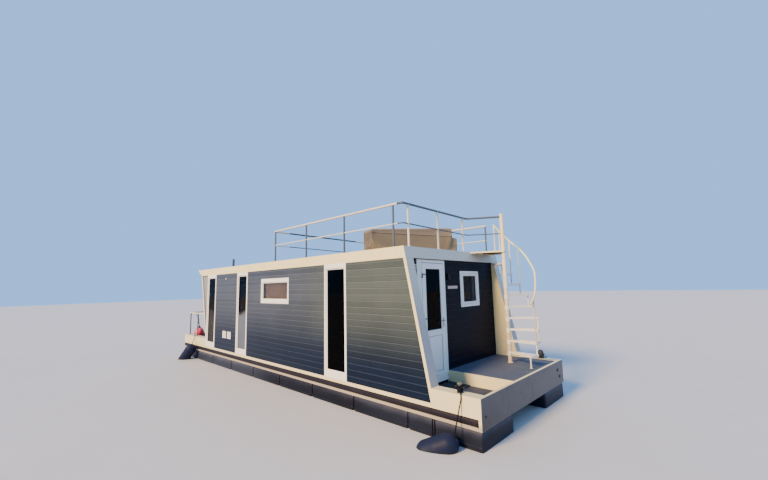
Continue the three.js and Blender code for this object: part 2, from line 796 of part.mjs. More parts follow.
// Handrail: a rising tube over the outer ends of the treads, held by a baluster on some of them and by
// posts on the landing.
function handrail() {
  const reach = TREAD.reach - TREAD_POST.inset;
  const curve = new THREE.CatmullRomCurve3(
    HANDRAIL.map(([angle, z]) => new THREE.Vector3(...aroundPole(angle, reach, z))),
  );
  const circle = new THREE.Shape();
  circle.absarc(0, 0, HANDRAIL_RADIUS, 0, Math.PI * 2);
  const rail = new THREE.ExtrudeGeometry(circle, { steps: 40, curveSegments: 8, extrudePath: curve });
  const heightAt = (angle) => {
    const next = HANDRAIL.findIndex(([a]) => a >= angle);
    const [a0, z0] = HANDRAIL[next - 1];
    const [a1, z1] = HANDRAIL[next];
    return z0 + ((z1 - z0) * (angle - a0)) / (a1 - a0);
  };
  const post = (angle, foot) => {
    const [x, y] = aroundPole(angle, reach, 0);
    return bar([x, y, foot + FIT], [x, y, heightAt(angle)], BALUSTER_RADIUS, 8);
  };
  return join(
    rail,
    ...BALUSTER_TREADS.map((i) => post(treadAngle(i) - TREAD_POST.behind, treadTop(i))),
    ...LANDING_POSTS.map((angle) => post(angle, ROOF_TOP)),
  );
}

add("stair_handrail", handrail(), CREAM);

// Terrace railing round the front of the roof, open to port at the stair, its ends shaped to the pole
function terraceRailing() {
  const y = SIDE - RAIL_INSET;
  const foot = ROOF_TOP + FIT;
  const at = (x, py, level) => [x, py, level - (py + SIDE) * RAIL_FALL];
  const run = (level) => [
    at(TERRACE.port, y, level),
    at(TERRACE.rear, y, level),
    at(TERRACE.rear, -y, level),
    at(TERRACE.front, -y, level),
    at(TERRACE.front, TERRACE.bend, level),
    at(POLE.x, POLE.y, level),
  ];
  const pieces = [
    ...bars(run(TOP_RAIL_Z), TOP_RAIL_RADIUS),
    ...bars(run(MID_RAIL_Z), MID_RAIL_RADIUS, 8),
  ];
  const post = (x, py) => pieces.push(bar([x, py, foot], at(x, py, TOP_RAIL_Z), POST_RADIUS, 10));
  for (const x of [...SIDE_POSTS, STARBOARD_LAST_POST]) post(x, -y);
  for (const x of [...SIDE_POSTS, TERRACE.port - POST_RADIUS]) post(x, y);
  for (const py of FRONT_POSTS) post(TERRACE.front, py);
  const pole = bar([POLE.x, POLE.y, ROOF_TOP], [POLE.x, POLE.y, POLE.top + 100], POLE.radius + FIT, 16);
  return cut(join(...pieces), pole);
}

add("terrace_railing", terraceRailing(), STEEL);

// Rear deck railing: both sides and across the end, from fin to fin
function rearRailing() {
  const y = SIDE - REAR_RAIL_INSET;
  const endX = -BOW + REAR_RAIL_INSET;
  const foot = RIM_TOP + FIT;
  const fromX = rearEdge(REAR_RAIL_TOP + TOP_RAIL_RADIUS) - FIT;
  const pieces = bars(
    [
      [fromX, -y, REAR_RAIL_TOP],
      [endX, -y, REAR_RAIL_TOP],
      [endX, y, REAR_RAIL_TOP],
      [fromX, y, REAR_RAIL_TOP],
    ],
    TOP_RAIL_RADIUS,
  );
  for (const side of [-y, y]) {
    for (const x of REAR_RAIL_POSTS) {
      pieces.push(bar([x, side, foot], [x, side, REAR_RAIL_TOP], POST_RADIUS, 10));
    }
  }
  return join(...pieces);
}

add("rear_railing", rearRailing(), STEEL);

// Furniture under its cover: a long low block with a back part whose top rises to port
const low = new THREE.BoxGeometry(COVER.depth, COVER.width, COVER.low);
low.translate(-COVER.depth / 2, COVER.width / 2, COVER.low / 2);
const back = prism(
  "X",
  [
    [COVER_BACK.y0, 1],
    [COVER_BACK.y1, 1],
    [COVER_BACK.y1, COVER_BACK.highEnd],
    [COVER_BACK.y0, COVER_BACK.lowEnd],
  ],
  -COVER.depth + COVER_BACK.inset,
  -COVER_BACK.inset,
);
const cover = join(low, back);
cover.rotateZ(COVER.turn * DEGREE).translate(COVER.x, COVER.y, ROOF_TOP + FIT);
add("furniture_cover", cover, COVER_TAUPE);

// Vent pipe standing in a collar
const ventFoot = ROOF_TOP + FIT;
const vent = (low, high, radius) => bar([VENT.x, VENT.y, low], [VENT.x, VENT.y, high], radius, 14);
add(
  "roof_vent",
  join(vent(ventFoot, ventFoot + VENT.height, VENT.radius), vent(ventFoot, ventFoot + 12, VENT.collar)),
  STEEL,
);

// Fenders: a round-ended body, with its line up to the rim
function fender(f, side) {
  const mirror = side === "right" ? 1 : -1;
  const place = ([x, y, z]) => new THREE.Vector3(x, y * mirror, z);
  const a = place(f.low);
  const b = place(f.high);
  const half = a.distanceTo(b) / 2;
  const profile = [];
  for (let i = 0; i <= 5; i++) {
    const angle = (i * Math.PI) / 10;
    profile.push(new THREE.Vector2(f.radius * Math.sin(angle), -half - f.radius * Math.cos(angle)));
  }
  for (let i = 5; i >= 0; i--) {
    const angle = (i * Math.PI) / 10;
    profile.push(new THREE.Vector2(f.radius * Math.sin(angle), half + f.radius * Math.cos(angle)));
  }
  const way = new THREE.Vector3().subVectors(b, a).normalize();
  const middle = a.clone().add(b).multiplyScalar(0.5);
  const body = new THREE.LatheGeometry(profile, 16);
  body.applyQuaternion(new THREE.Quaternion().setFromUnitVectors(new THREE.Vector3(0, 1, 0), way));
  body.translate(middle.x, middle.y, middle.z);
  const rimZ = RIM_TOP + LINE_RADIUS + FIT;
  const edge = place([f.rimX, -SIDE - LINE_RADIUS - 2, rimZ]);
  const stem = place([f.stemX, -SIDE + RIM_WIDTH / 2, rimZ]);
  const end = stem.clone().add(edge.clone().sub(stem).setLength(f.stem + 3));
  return join(body, ...bars([place(f.tie).toArray(), edge.toArray(), end.toArray()], LINE_RADIUS, 8));
}

for (const f of FENDERS) {
  for (const side of SIDES) add(f.name + "_" + side, fender(f, side), FENDER_BLUE);
}

// Ball buoy inside the rear bulwark, hung from a pin under the rail by two lines
const buoyBody = new THREE.LatheGeometry(BUOY_PROFILE.map(([r, z]) => new THREE.Vector2(r, z)), 20);
buoyBody.rotateX(Math.PI / 2).translate(BUOY.x, BUOY.y, 0);
const pinX = -BOW + REAR_RAIL_INSET;
const pinZ = REAR_RAIL_TOP - TOP_RAIL_RADIUS - LINE_RADIUS - FIT;
const pin = bar([pinX, BUOY.ties[0] - 20, pinZ], [pinX, BUOY.ties[1] + 20, pinZ], LINE_RADIUS, 8);
const buoyLines = BUOY.ties.map((y) => bar([pinX, y, pinZ], [BUOY.x, BUOY.y, BUOY.eye], 7, 8));
add("ball_buoy", join(buoyBody, pin, ...buoyLines), RED);

// Lamp beside the door
add(
  "entrance_lamp",
  box(FRONT_WALL_X + FIT, FRONT_WALL_X + LAMP.proud, LAMP.y0, LAMP.y1, LAMP.z0, LAMP.z1),
  MAT_GREY,
);

export default houseboat;
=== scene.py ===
import bpy
import bmesh
from math import cos, pi, radians, sin
from mathutils import Matrix, Vector


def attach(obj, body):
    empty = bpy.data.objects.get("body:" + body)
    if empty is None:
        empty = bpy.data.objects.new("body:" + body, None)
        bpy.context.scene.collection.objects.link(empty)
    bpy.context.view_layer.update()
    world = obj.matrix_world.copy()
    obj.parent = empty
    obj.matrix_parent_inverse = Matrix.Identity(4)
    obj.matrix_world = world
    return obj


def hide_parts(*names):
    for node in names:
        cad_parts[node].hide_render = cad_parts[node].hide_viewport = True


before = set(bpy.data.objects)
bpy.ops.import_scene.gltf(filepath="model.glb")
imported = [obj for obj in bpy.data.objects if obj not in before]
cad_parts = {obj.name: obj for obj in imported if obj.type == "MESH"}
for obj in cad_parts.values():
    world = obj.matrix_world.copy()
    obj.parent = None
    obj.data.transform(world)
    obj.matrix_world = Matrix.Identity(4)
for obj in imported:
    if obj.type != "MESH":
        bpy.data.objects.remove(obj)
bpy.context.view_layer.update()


# Viewpoint
# The camera stands off the starboard bow, a little above deck height, and looks slightly up along the
# boat.
EYE = (8.668, -6.408, 2.735)
yaw, pitch, roll = radians(43.5), radians(7.26), radians(-1.31)
ahead = Vector((-sin(yaw) * cos(pitch), cos(yaw) * cos(pitch), sin(pitch)))
level = Vector((cos(yaw), sin(yaw), 0))
upright = level.cross(ahead)
right = cos(roll) * level + sin(roll) * upright
up = cos(roll) * upright - sin(roll) * level
lens = bpy.data.cameras.new("viewpoint")
lens.lens = 16.77
lens.clip_end = 300
viewpoint = bpy.data.objects.new("viewpoint", lens)
viewpoint.matrix_world = Matrix.Translation(EYE) @ Matrix((right, up, -ahead)).transposed().to_4x4()
bpy.context.collection.objects.link(viewpoint)
bpy.context.scene.camera = viewpoint


# Floor and light
# A plain pale floor at the waterline, with a warm soft light low on the starboard side and a cool, even
# light all round.
WATERLINE, FLOOR_REACH = 0.4, 90


class Finish:
    """A finish mixed from patterns that lie fixed on the boat, in metres, so they keep their real size."""

    def __init__(self, name, slot=None, **sockets):
        self.stuff = bpy.data.materials.new(name)
        self.stuff.use_nodes = True
        self.slot = slot or name
        self.nodes = self.stuff.node_tree.nodes
        self.shader = self.nodes["Principled BSDF"]
        self.place = self.nodes.new("ShaderNodeTexCoord").outputs["Object"]
        self.x, self.y, self.z = self.node("SeparateXYZ", {0: self.place}).outputs
        for socket, value in sockets.items():
            self.feed(self.shader, socket.replace("_", " "), value)

    def feed(self, node, socket, value):
        if isinstance(value, bpy.types.NodeSocket):
            self.stuff.node_tree.links.new(value, node.inputs[socket])
        elif isinstance(value, tuple) and node.inputs[socket].type == "RGBA":
            node.inputs[socket].default_value = (*value, 1)
        else:
            node.inputs[socket].default_value = value

    def node(self, kind, sockets, **settings):
        made = self.nodes.new("ShaderNode" + kind)
        for name, value in settings.items():
            setattr(made, name, value)
        for socket, value in sockets.items():
            self.feed(made, socket, value)
        return made

    def sum(self, way, first, second=0.0):
        return self.node("Math", {0: first, 1: second}, operation=way).outputs[0]

    def times(self, first, second):
        return self.sum("MULTIPLY", first, second)

    def plus(self, first, second):
        return self.sum("ADD", first, second)

    def facing(self, axis):
        normal = self.node("NewGeometry", {}).outputs["Normal"]
        return self.node("SeparateXYZ", {0: normal}).outputs[axis]

    def grain(self, scale, detail=3.0, rough=0.55, stretch=(1, 1, 1)):
        spread = self.node("Mapping", {"Vector": self.place, "Scale": stretch}).outputs[0]
        sockets = {"Vector": spread, "Scale": scale, "Detail": detail, "Roughness": rough}
        return self.node("TexNoise", sockets).outputs["Fac"]

    def share(self, value, low, high, to_low=0.0, to_high=1.0):
        """Eases between two ends while a value, or a grain given by its numbers, goes from low to high."""
        if isinstance(value, tuple):
            value = self.grain(*value)
        sockets = dict(enumerate((value, low, high, to_low, to_high)))
        return self.node("MapRange", sockets, interpolation_type="SMOOTHSTEP").outputs[0]

    def mix(self, share, first, second):
        return self.node("Mix", {0: share, 6: first, 7: second}, data_type="RGBA").outputs[2]

    def colour(self, value):
        self.tone = value
        self.feed(self.shader, "Base Color", value)

    def mottle(self, first, second, *pattern):
        """Mingles two tones by a grain, which uneven and pitted follow where they are given none."""
        self.pattern = self.grain(*pattern)
        self.colour(self.mix(self.pattern, first, second))
        return self

    def tint(self, share, second):
        """Lays a further tone over the colour so far."""
        share = self.share(*share) if isinstance(share, tuple) else share
        self.colour(self.mix(share, self.tone, second))

    def rough(self, value):
        self.feed(self.shader, "Roughness", value)

    def uneven(self, low, high, *pattern):
        self.rough(self.share(pattern or self.pattern, 0.3, 0.7, low, high))
        return self

    def pitted(self, depth, *pattern):
        self.bump(self.grain(*pattern) if pattern else self.pattern, depth)
        return self

    def bump(self, value, depth):
        node = self.node("Bump", {"Height": value, "Strength": 1.0, "Distance": depth})
        normal = self.shader.inputs["Normal"]
        if normal.is_linked:
            self.feed(node, "Normal", normal.links[0].from_socket)
        self.feed(self.shader, "Normal", node.outputs[0])


pale = Finish("floor_pale").mottle((0.46, 0.47, 0.48), (0.5, 0.51, 0.52), 0.6).uneven(0.55, 0.7, 3.0)
floor_mesh = bpy.data.meshes.new("floor")
corners = [(x * FLOOR_REACH, y * FLOOR_REACH, WATERLINE) for x, y in ((-1, -1), (1, -1), (1, 1), (-1, 1))]
floor_mesh.from_pydata(corners, [], [(0, 1, 2, 3)])
floor_mesh.materials.append(pale.stuff)
floor = bpy.data.objects.new("floor", floor_mesh)
bpy.context.collection.objects.link(floor)

sky = bpy.data.worlds.new("soft_light")
sky.use_nodes = True
glow = sky.node_tree.nodes["Background"].inputs
glow["Color"].default_value = (0.27, 0.53, 1.0, 1)
glow["Strength"].default_value = 1.4
bpy.context.scene.world = sky
lamp = bpy.data.lights.new("warm_key", "SUN")
lamp.energy = 9.5
lamp.angle = radians(14)
lamp.color = (1.0, 0.66, 0.32)
key = bpy.data.objects.new("warm_key", lamp)
key.rotation_euler = Vector((0.08, 0.86, -0.52)).to_track_quat("-Z", "Y").to_euler()
bpy.context.collection.objects.link(key)


# Floats
# Two rows of black polyethylene tanks, butted end to end and pinned under the frame. Each tank is
# rotation moulded, so it has round shoulders and a moulding ridge just over the water.
BOW, SIDE = 6.0, 1.71
SIDES = (("right", -1), ("left", 1))


def mm(*sizes):
    """Points of an outline, from pairs of sizes in millimetres."""
    return [(a / 1000, b / 1000) for a, b in zip(sizes[::2], sizes[1::2])]


FLOAT_SEAMS = [-4.77 + 1.344 * k for k in range(8)]
FLOAT_MIDDLE = (-1.19, 0.34)
FLOAT_OUTLINE = mm(
    -1640, 679.7, -1668, 672, -1684, 655, -1690, 630, -1690, 478, -1700, 470, -1704, 455, -1700, 440,
    -1690, 431, -1690, 140, -1675, 85, -1640, 35, -1590, 8, -1560, 0, -820, 0, -790, 8, -740, 35, -705, 85,
    -690, 140, -690, 630, -696, 655, -712, 672, -740, 679.7,
)
SEAM_GAP, SEAM_CORE = 0.016, 0.028
END_ROUNDING = mm(0, 24, 5, 12, 18, 3, 45, 0)
STRAPS, STRAP_HALF = (5.135, 5.18), 0.012
SHARP_EDGE = radians(35)

tank = Finish("float_plastic", Specular_IOR_Level=0.2)
tank.mottle((0.0032, 0.005, 0.013), (0.0075, 0.0105, 0.024), 3.0, 5)
# Painted shade and light: the tanks are darkened aft of the bow and lightened again towards the stern,
# standing in for how the light falls along them.
tank.tint((tank.x, 4.4, 3.0, 0.0, 0.85), (0.0006, 0.0014, 0.0075))
tank.tint((tank.x, 0.5, -1.1, 0.0, 0.85), (0.019, 0.026, 0.048))
# A pale chalky bloom on the upper shoulder of the tanks; its strength along the boat, strongest aft and
# weakest in the middle, is painted light.
chalk = tank.share(tank.plus(tank.z, tank.times(tank.pattern, 0.12)), 0.6, 0.76)
painted_light_strength = tank.plus(tank.share(tank.x, 0.0, -2.5, 0.2, 1.0), tank.share(tank.x, 2.0, 4.0, 0.0, 0.4))
tank.tint(tank.times(chalk, painted_light_strength), (0.062, 0.07, 0.108))
tank.tint(tank.times(tank.share((5.0, 6, 0.7, (0.7, 1, 9)), 0.62, 0.74), 0.25), (0.06, 0.07, 0.1))
dry = tank.share(tank.plus(tank.z, tank.times(tank.grain(7.0), 0.05)), 0.41, 0.455)
tank.colour(tank.mix(dry, (0.018, 0.022, 0.018), tank.tone))
tank.rough(tank.share(dry, 0.0, 1.0, 0.22, 0.52))
tank.pitted(0.0006, 160, 2)

webbing = Finish("float_webbing", "mat", Roughness=0.9, Specular_IOR_Level=0.05)
webbing.mottle((0.0008, 0.0008, 0.0016), (0.004, 0.004, 0.006), 300)


def loft(rings):
    """A closed solid through rings of equally many points."""
    n = len(rings[0])
    points = [p for ring in rings for p in ring]
    faces = [list(range(n))[::-1], list(range(len(points) - n, len(points)))]
    for r in range(0, len(points) - n, n):
        for i in range(n):
            j = (i + 1) % n
            faces.append([r + i, r + j, r + n + j, r + n + i])
    return points, faces


def mesh_object(name, shape, finishes):
    for face in shape.faces:
        face.smooth = True
    mesh = bpy.data.meshes.new(name)
    shape.to_mesh(mesh)
    shape.free()
    for finish in finishes:
        mesh.materials.append(finish.stuff)
    made = bpy.data.objects.new(name, mesh)
    bpy.context.collection.objects.link(made)
    return made


def piece(name, solids, finishes, *stands_for, slot=None, body="hull", soften=0.0, pick=None):
    """One piece of (points, faces, number of its finish) solids, and the frame nodes that it stands for."""
    shape = bmesh.new()
    for points, faces, *number in solids:
        spots = [shape.verts.new(p) for p in points]
        for corners in faces:
            face = shape.faces.new([spots[i] for i in corners])
            face.material_index = number[0] if number else 0
    bmesh.ops.recalc_face_normals(shape, faces=shape.faces)
    if pick:
        for face in shape.faces:
            face.material_index = pick(face.calc_center_median(), face.normal)
    if soften:
        edges = [e for e in shape.edges if e.calc_face_angle(0) > SHARP_EDGE]
        bmesh.ops.bevel(
            shape, geom=edges, offset=soften, segments=2, profile=0.5, clamp_overlap=True, affect="EDGES"
        )
    made = mesh_object(name, shape, finishes)
    made.data.set_sharp_from_angle(angle=SHARP_EDGE)
    if soften:
        made.modifiers.new("even shading", "WEIGHTED_NORMAL").keep_sharp = True
    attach(made, body)
    slot or finishes[0].slot
    if stands_for:
        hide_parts(*stands_for)


def float_ring(x, inset, sign):
    ring = []
    for y, z in FLOAT_OUTLINE:
        inwards = Vector((FLOAT_MIDDLE[0] - y, FLOAT_MIDDLE[1] - z)).normalized() * inset
        ring.append((x, -(y + inwards.x) * sign, z + inwards.y))
    return ring


for side, sign in SIDES:
    solids = [loft([float_ring(x, SEAM_CORE, sign) for x in (-5.97, 5.97)])]
    edges = [-BOW] + FLOAT_SEAMS + [BOW]
    for a, b in zip(edges, edges[1:]):
        ends = [(a + SEAM_GAP + d, i) for d, i in END_ROUNDING]
        ends += [(b - SEAM_GAP - d, i) for d, i in reversed(END_ROUNDING)]
        solids.append(loft([float_ring(x, inset, sign) for x, inset in ends]))
    piece("float_tanks_" + side, solids, [tank], "float_" + side)
    straps = [loft([float_ring(x + d, -0.003, sign) for d in (-STRAP_HALF, STRAP_HALF)]) for x in STRAPS]
    piece("float_straps_" + side, straps, [webbing])


# Deck frame
# A welded steel frame with a bottom strip and a sill along each side, spray painted cream. The deck on
# it has a gritted grey coating.
SILL_TOP = 0.905
FRAME_OUTLINE = mm(
    -1710, 680, 1710, 680, 1710, 730, 1685, 730, 1685, 838, 1710, 838, 1710, 905, -1710, 905, -1710, 838,
    -1685, 838, -1685, 730, -1710, 730,
)


def prism(axis, outline, a, b):
    """An outline drawn out along an axis from a to b."""
    spot = {
        "X": lambda u, v, w: (w, u, v),
        "Y": lambda u, v, w: (u, w, v),
        "Z": lambda u, v, w: (u, v, w),
    }[axis]
    return loft([[spot(u, v, w) for u, v in outline] for w in (a, b)])


def painted(name, slot, clean, grimy, rust=0.0, splash=0.0, smeared=0.0, handled=0.0):
    """Sprayed paint with orange peel, dirt and painted shade below, and rust, splashes, smears and painted
    shade if asked.
    """
    paint = Finish(name, slot, Specular_IOR_Level=0.5).mottle(clean, tuple(c * 0.9 for c in clean), 1.3, 4)
    streak = paint.share((1.0, 5, 0.6, (4, 4, 0.9)), 0.52, 0.82, 0.0, 0.16)
    blotch = paint.share((2.6, 6, 0.7), 0.52, 0.78, 0.0, 0.22)
    spots = paint.share((26, 4, 0.7), 0.62, 0.8, 0.0, 0.3)
    dirt = paint.sum("MAXIMUM", paint.sum("MAXIMUM", streak, blotch), spots)
    paint.tint(dirt, grimy)
    # Painted shade: faces that look down are darkened, as shade falls under things.
    paint.tint(paint.share(paint.facing("Z"), -0.7, -0.9, 0.0, 0.6), tuple(c * 0.5 for c in grimy))
    if rust:
        low = paint.share(paint.z, 1.2, 0.68)
        bleed = paint.share((3.2, 6, 0.75, (1.6, 1.6, 0.8)), 0.61, 0.74)
        paint.tint(paint.times(paint.times(bleed, low), rust), (0.2, 0.1, 0.05))
    # Painted shade: the paint darkens towards the foot, standing in for shade low down.
    if handled:
        paint.tint((paint.z, 3.3, 1.6, 0.0, handled), (0.28, 0.235, 0.205))
    if smeared:
        paint.tint(paint.share((1.5, 7, 0.78), 0.46, 0.6, 0.0, smeared), grimy)
        # Painted shade: a dark patch low towards the -Y side of the plate stands in for the shade in that
        # corner.
        corner = paint.times(paint.share(paint.y, -1.0, -1.7), paint.share(paint.z, 1.1, 0.7, 0.0, 0.7))
        paint.tint(corner, (0.014, 0.014, 0.018))
    if splash:
        # Painted shade: faces that look forward (+X) are tinted blue-grey, and darker lower down, standing in
        # for the cool shade on the bow end.
        front = paint.share(paint.facing("X"), 0.7, 0.9)
        paint.tint(paint.times(front, 0.55), (0.32, 0.39, 0.53))
        paint.tint(paint.times(front, paint.share(paint.z, 3.2, 1.6, 0.0, 0.75)), (0.24, 0.245, 0.285))
        # Darker and greyer towards the bottom.
        paint.tint((paint.z, 2.2, 0.9, 0.0, 0.3), (0.5, 0.46, 0.38))
        # Splash stains along the foot, which also stand in for the strake's shadow on the bottom strip.
        paint.tint((paint.z, 0.8, 0.72, 0.0, splash), (0.28, 0.255, 0.215))
    paint.rough(paint.share(dirt, 0.0, 0.3, 0.36, 0.62))
    paint.pitted(0.00025, 420, 2).pitted(0.0035, 2.2, 2)
    return paint


# The cream paint gets splashes at the foot, and painted shade on its forward faces and undersides.
cream = painted("cream_paint", "cream_paint", (0.8, 0.71, 0.37), (0.42, 0.34, 0.2), rust=0.4, splash=0.85)

grit = Finish("deck_coating", Specular_IOR_Level=0.25)
# Painted light and shade: forward of the door wall the coating is tinted by place, lighter on the platform by
# the door, darker towards the bow and darkest down in the well, standing in for how light falls there; aft
# the deck keeps its own plain grey.
grit.mottle((0.058, 0.074, 0.116), (0.082, 0.1, 0.15), 1.1, 5, 0.6)
fore = grit.share(grit.x, 5.0, 5.9)
grit.tint(fore, grit.mix(grit.pattern, (0.05, 0.066, 0.098), (0.07, 0.088, 0.126)))
# Painted shade: the deck down in the well, below the platform top, is darkened.
low = grit.mix(grit.share(grit.x, 5.2, 5.6), (0.036, 0.04, 0.068), (0.008, 0.022, 0.06))
grit.tint(grit.share(grit.z, 1.05, 0.95, 0.0, 0.9), low)
aft = grit.mix(grit.pattern, (0.07, 0.078, 0.09), (0.1, 0.11, 0.12))
grit.colour(grit.mix(grit.share(grit.x, 4.4, 4.6), aft, grit.tone))
grit.tint(grit.times(grit.share((2.6, 6, 0.7), 0.55, 0.75), 0.5), (0.026, 0.032, 0.044))
dried = grit.share((1.9, 6, 0.7), 0.5, 0.62, 0.0, 0.6)
grit.tint(grit.times(dried, grit.share(grit.z, 0.98, 1.05)), (0.085, 0.105, 0.145))
grit.tint(((420, 2), 0.6, 0.72, 0.0, 0.2), (0.17, 0.18, 0.2))
grit.uneven(0.62, 0.82).pitted(0.0016, 380, 2)

piece(
    "deck_beams", [prism("X", FRAME_OUTLINE, -5.9497, 5.9497)], [cream, grit], "deck_frame", soften=0.004,
    pick=lambda centre, way: 1 if way.z > 0.9 and centre.z > 0.9 else 0,
)


# Rubbing strakes
# An extruded D-section of brown-black rubber, pressed into a channel along each side of the frame and
# closed by a moulded cap on each end.
strake = Finish("strake_rubber", "rubber", Specular_IOR_Level=0.15)
scuff = strake.share((2.0, 6, 0.7, (1, 6, 12)), 0.55, 0.75)
strake.mottle((0.008, 0.007, 0.011), (0.016, 0.014, 0.022), 4.0, 4)
strake.tint(strake.times(scuff, 0.35), (0.055, 0.052, 0.064))
strake.rough(strake.share(scuff, 0.0, 1.0, 0.5, 0.8))
strake.pitted(0.0008, 140, 3)


def strake_outline(sign, grow):
    arc = [radians(-90 + 15 * i) for i in range(13)]
    outline = [(1.6853, 0.7303 - grow)]
    outline += [(1.693 + (0.032 + grow) * cos(a), 0.784 + (0.0537 + grow) * sin(a)) for a in arc]
    outline += [(1.6853, 0.8377 + grow)]
    return [(y * sign, z) for y, z in outline]


for side, sign in SIDES:
    solids = [prism("X", strake_outline(sign, 0.0), -5.935, 5.935)]
    solids += [prism("X", strake_outline(sign, 0.003), x, x + 0.035) for x in (-5.9417, 5.9067)]
    piece("strake_" + side, solids, [strake], "rubbing_strake_" + side, soften=0.002)


# Bulwarks
# Folded and welded steel: a full-width plate across each end and a broad rim along each side, with the
# weld ground back to a soft line. The front rims carry bollards and the rear rims carry cleats.
RIM_TOP, RIM_INSIDE = 1.127, 1.51
PLATE_BACK, REAR_RIM = 5.95, 4.0203
# Painted shade: the outward faces of the end plates get a dark blue-grey copy of the cream paint, standing in
# for their shade, with smears on it.
plate_in_shade = painted(
    "scuffed_paint", "cream_paint", (0.044, 0.052, 0.064), (0.018, 0.021, 0.028), rust=0.3, smeared=0.6
)


def front_edge(z):
    """How far forward the cabin's front corners come at a height: they lean aft towards the top."""
    return 5.146 - (z - RIM_TOP) * 0.2088


def rear_edge(z):
    return -4.05 - (z - RIM_TOP) * 0.27163


def block(x0, x1, y0, y1, z0, z1):
    return prism("Z", [(x0, y0), (x1, y0), (x1, y1), (x0, y1)], z0, z1)


def rounded(path, bend):
    """The path with each corner bent round, as a tube is."""
    path = [Vector(p) for p in path]
    out = [path[0]]
    for before, here, after in zip(path, path[1:], path[2:]):
        cut = min(bend, (before - here).length * 0.45, (after - here).length * 0.45)
        a = here + (before - here).normalized() * cut
        b = here + (after - here).normalized() * cut
        for t in (i / 6 for i in range(7)):
            out.append(a * (1 - t) ** 2 + here * 2 * t * (1 - t) + b * t * t)
    return out + [path[-1]]


def circle(centre, radius, side, other, sides):
    spin = [2 * pi * k / sides for k in range(sides)]
    return [centre + radius * (cos(a) * side + sin(a) * other) for a in spin]


def tube(path, radius, sides=12, bend=0.0):
    path = rounded(path, bend) if bend else [Vector(p) for p in path]
    rings = []
    side = (path[1] - path[0]).orthogonal().normalized()
    for i, here in enumerate(path):
        back = (here - path[i - 1]).normalized() if i else (path[1] - here).normalized()
        on = (path[i + 1] - here).normalized() if i + 1 < len(path) else back
        way = (back + on).normalized()
        side = (side - way * side.dot(way)).normalized()
        rings.append(circle(here, radius, side, way.cross(side), sides))
    return loft(rings)


for end, flip in (("front", 1), ("rear", -1)):
    foot, head = (front_edge(SILL_TOP), front_edge(RIM_TOP)) if end == "front" else (REAR_RIM, REAR_RIM)
    rim = [(foot, SILL_TOP), (PLATE_BACK, SILL_TOP), (PLATE_BACK, RIM_TOP), (head, RIM_TOP)]
    solids = [block(PLATE_BACK, BOW, -SIDE, SIDE, 0.68, RIM_TOP)]
    solids += [prism("Y", rim, *ys) for ys in ((-SIDE, -RIM_INSIDE), (RIM_INSIDE, SIDE))]
    weld = PLATE_BACK + 0.001
    for y in (-RIM_INSIDE, RIM_INSIDE):
        solids.append(tube([(weld, y, SILL_TOP), (weld, y, RIM_TOP - 0.006)], 0.006, 8))
    solids.append(tube([(weld, y, SILL_TOP + 0.004) for y in (-RIM_INSIDE, RIM_INSIDE)], 0.006, 8))
    turned_about = [([(x * flip, y * flip, z) for x, y, z in points], faces) for points, faces in solids]
    piece(
        end + "_bulwark_plates", turned_about, [cream, plate_in_shade], end + "_bulwark", soften=0.005,
        pick=lambda centre, way: 1 if way.x * flip > 0.9 and centre.x * flip > 5.98 else 0,
    )


# Bollards and cleats
# Galvanised bollards with a cross pin on the front rims, the starboard one wound with laid rope and the
# port one hooded, and low horn cleats on the rear rims. Rubber grommets are let into the bow plate.
BOLLARD_X, RIM_MIDDLE, CLEAT_X = 5.61, 1.61, -5.36
zinc = Finish("galvanised_steel", "cream_paint", Metallic=0.85)
zinc.mottle((0.3, 0.3, 0.3), (0.5, 0.5, 0.49), 45, 4, 0.7)
zinc.uneven(0.38, 0.6).pitted(0.0008, 60, 3)
old_zinc = Finish("old_zinc", "cream_paint", Metallic=0.4)
old_zinc.mottle((0.07, 0.068, 0.056), (0.2, 0.195, 0.15), 55, 4, 0.7)
old_zinc.uneven(0.5, 0.75).pitted(0.0008)
dark_rope = Finish("dark_rope", "mat", Roughness=0.95, Specular_IOR_Level=0.1)
dark_rope.mottle((0.002, 0.003, 0.006), (0.01, 0.012, 0.019), 60, 2, 0.5, (1, 1, 2.2))
dark_rope.pitted(0.003)
rubber = Finish("black_rubber", "mat").mottle((0.012, 0.012, 0.014), (0.03, 0.03, 0.033), 30)
rubber.uneven(0.55, 0.8, 12)


def turned(profile, foot, way=(0, 0, 1), sides=24):
    """A profile of (radius, height) turned round an axis that stands on the foot."""
    way = Vector(way).normalized()
    side = way.orthogonal().normalized()
    return loft([circle(Vector(foot) + way * high, max(radius, 0.0003), side, way.cross(side), sides)
                 for radius, high in profile])


def ring_of(count, centre, radius, first=0.0):
    """Points spaced round an upright axis, such as bolts."""
    return [(centre[0] + radius * cos(first + 2 * pi * k / count),
             centre[1] + radius * sin(first + 2 * pi * k / count)) for k in range(count)]


BOLLARD = mm(52, 0, 52, 6, 31, 9, 28, 20, 28, 112, 36, 117, 42, 123, 42, 139, 37, 145, 0, 147)
CROSS_PIN = mm(0, -79, 14, -77, 18, -71, 14, -62, 14, 62, 18, 71, 14, 77, 0, 79)
BOLT = mm(5, 0, 5, 4, 0, 5)
for side, sign in SIDES:
    y = sign * RIM_MIDDLE
    solids = [turned(BOLLARD, (BOLLARD_X, y, RIM_TOP))]
    solids.append((*turned(CROSS_PIN, (BOLLARD_X, y, RIM_TOP + 0.078), (1, 0, 0), 14), 1))
    for spot in ring_of(4, (BOLLARD_X, y), 0.042, pi / 4):
        solids.append(turned(BOLT, (*spot, RIM_TOP + 0.005), sides=6))
    piece("front_bollard_" + side, solids, [old_zinc, rubber], "front_bulwark")

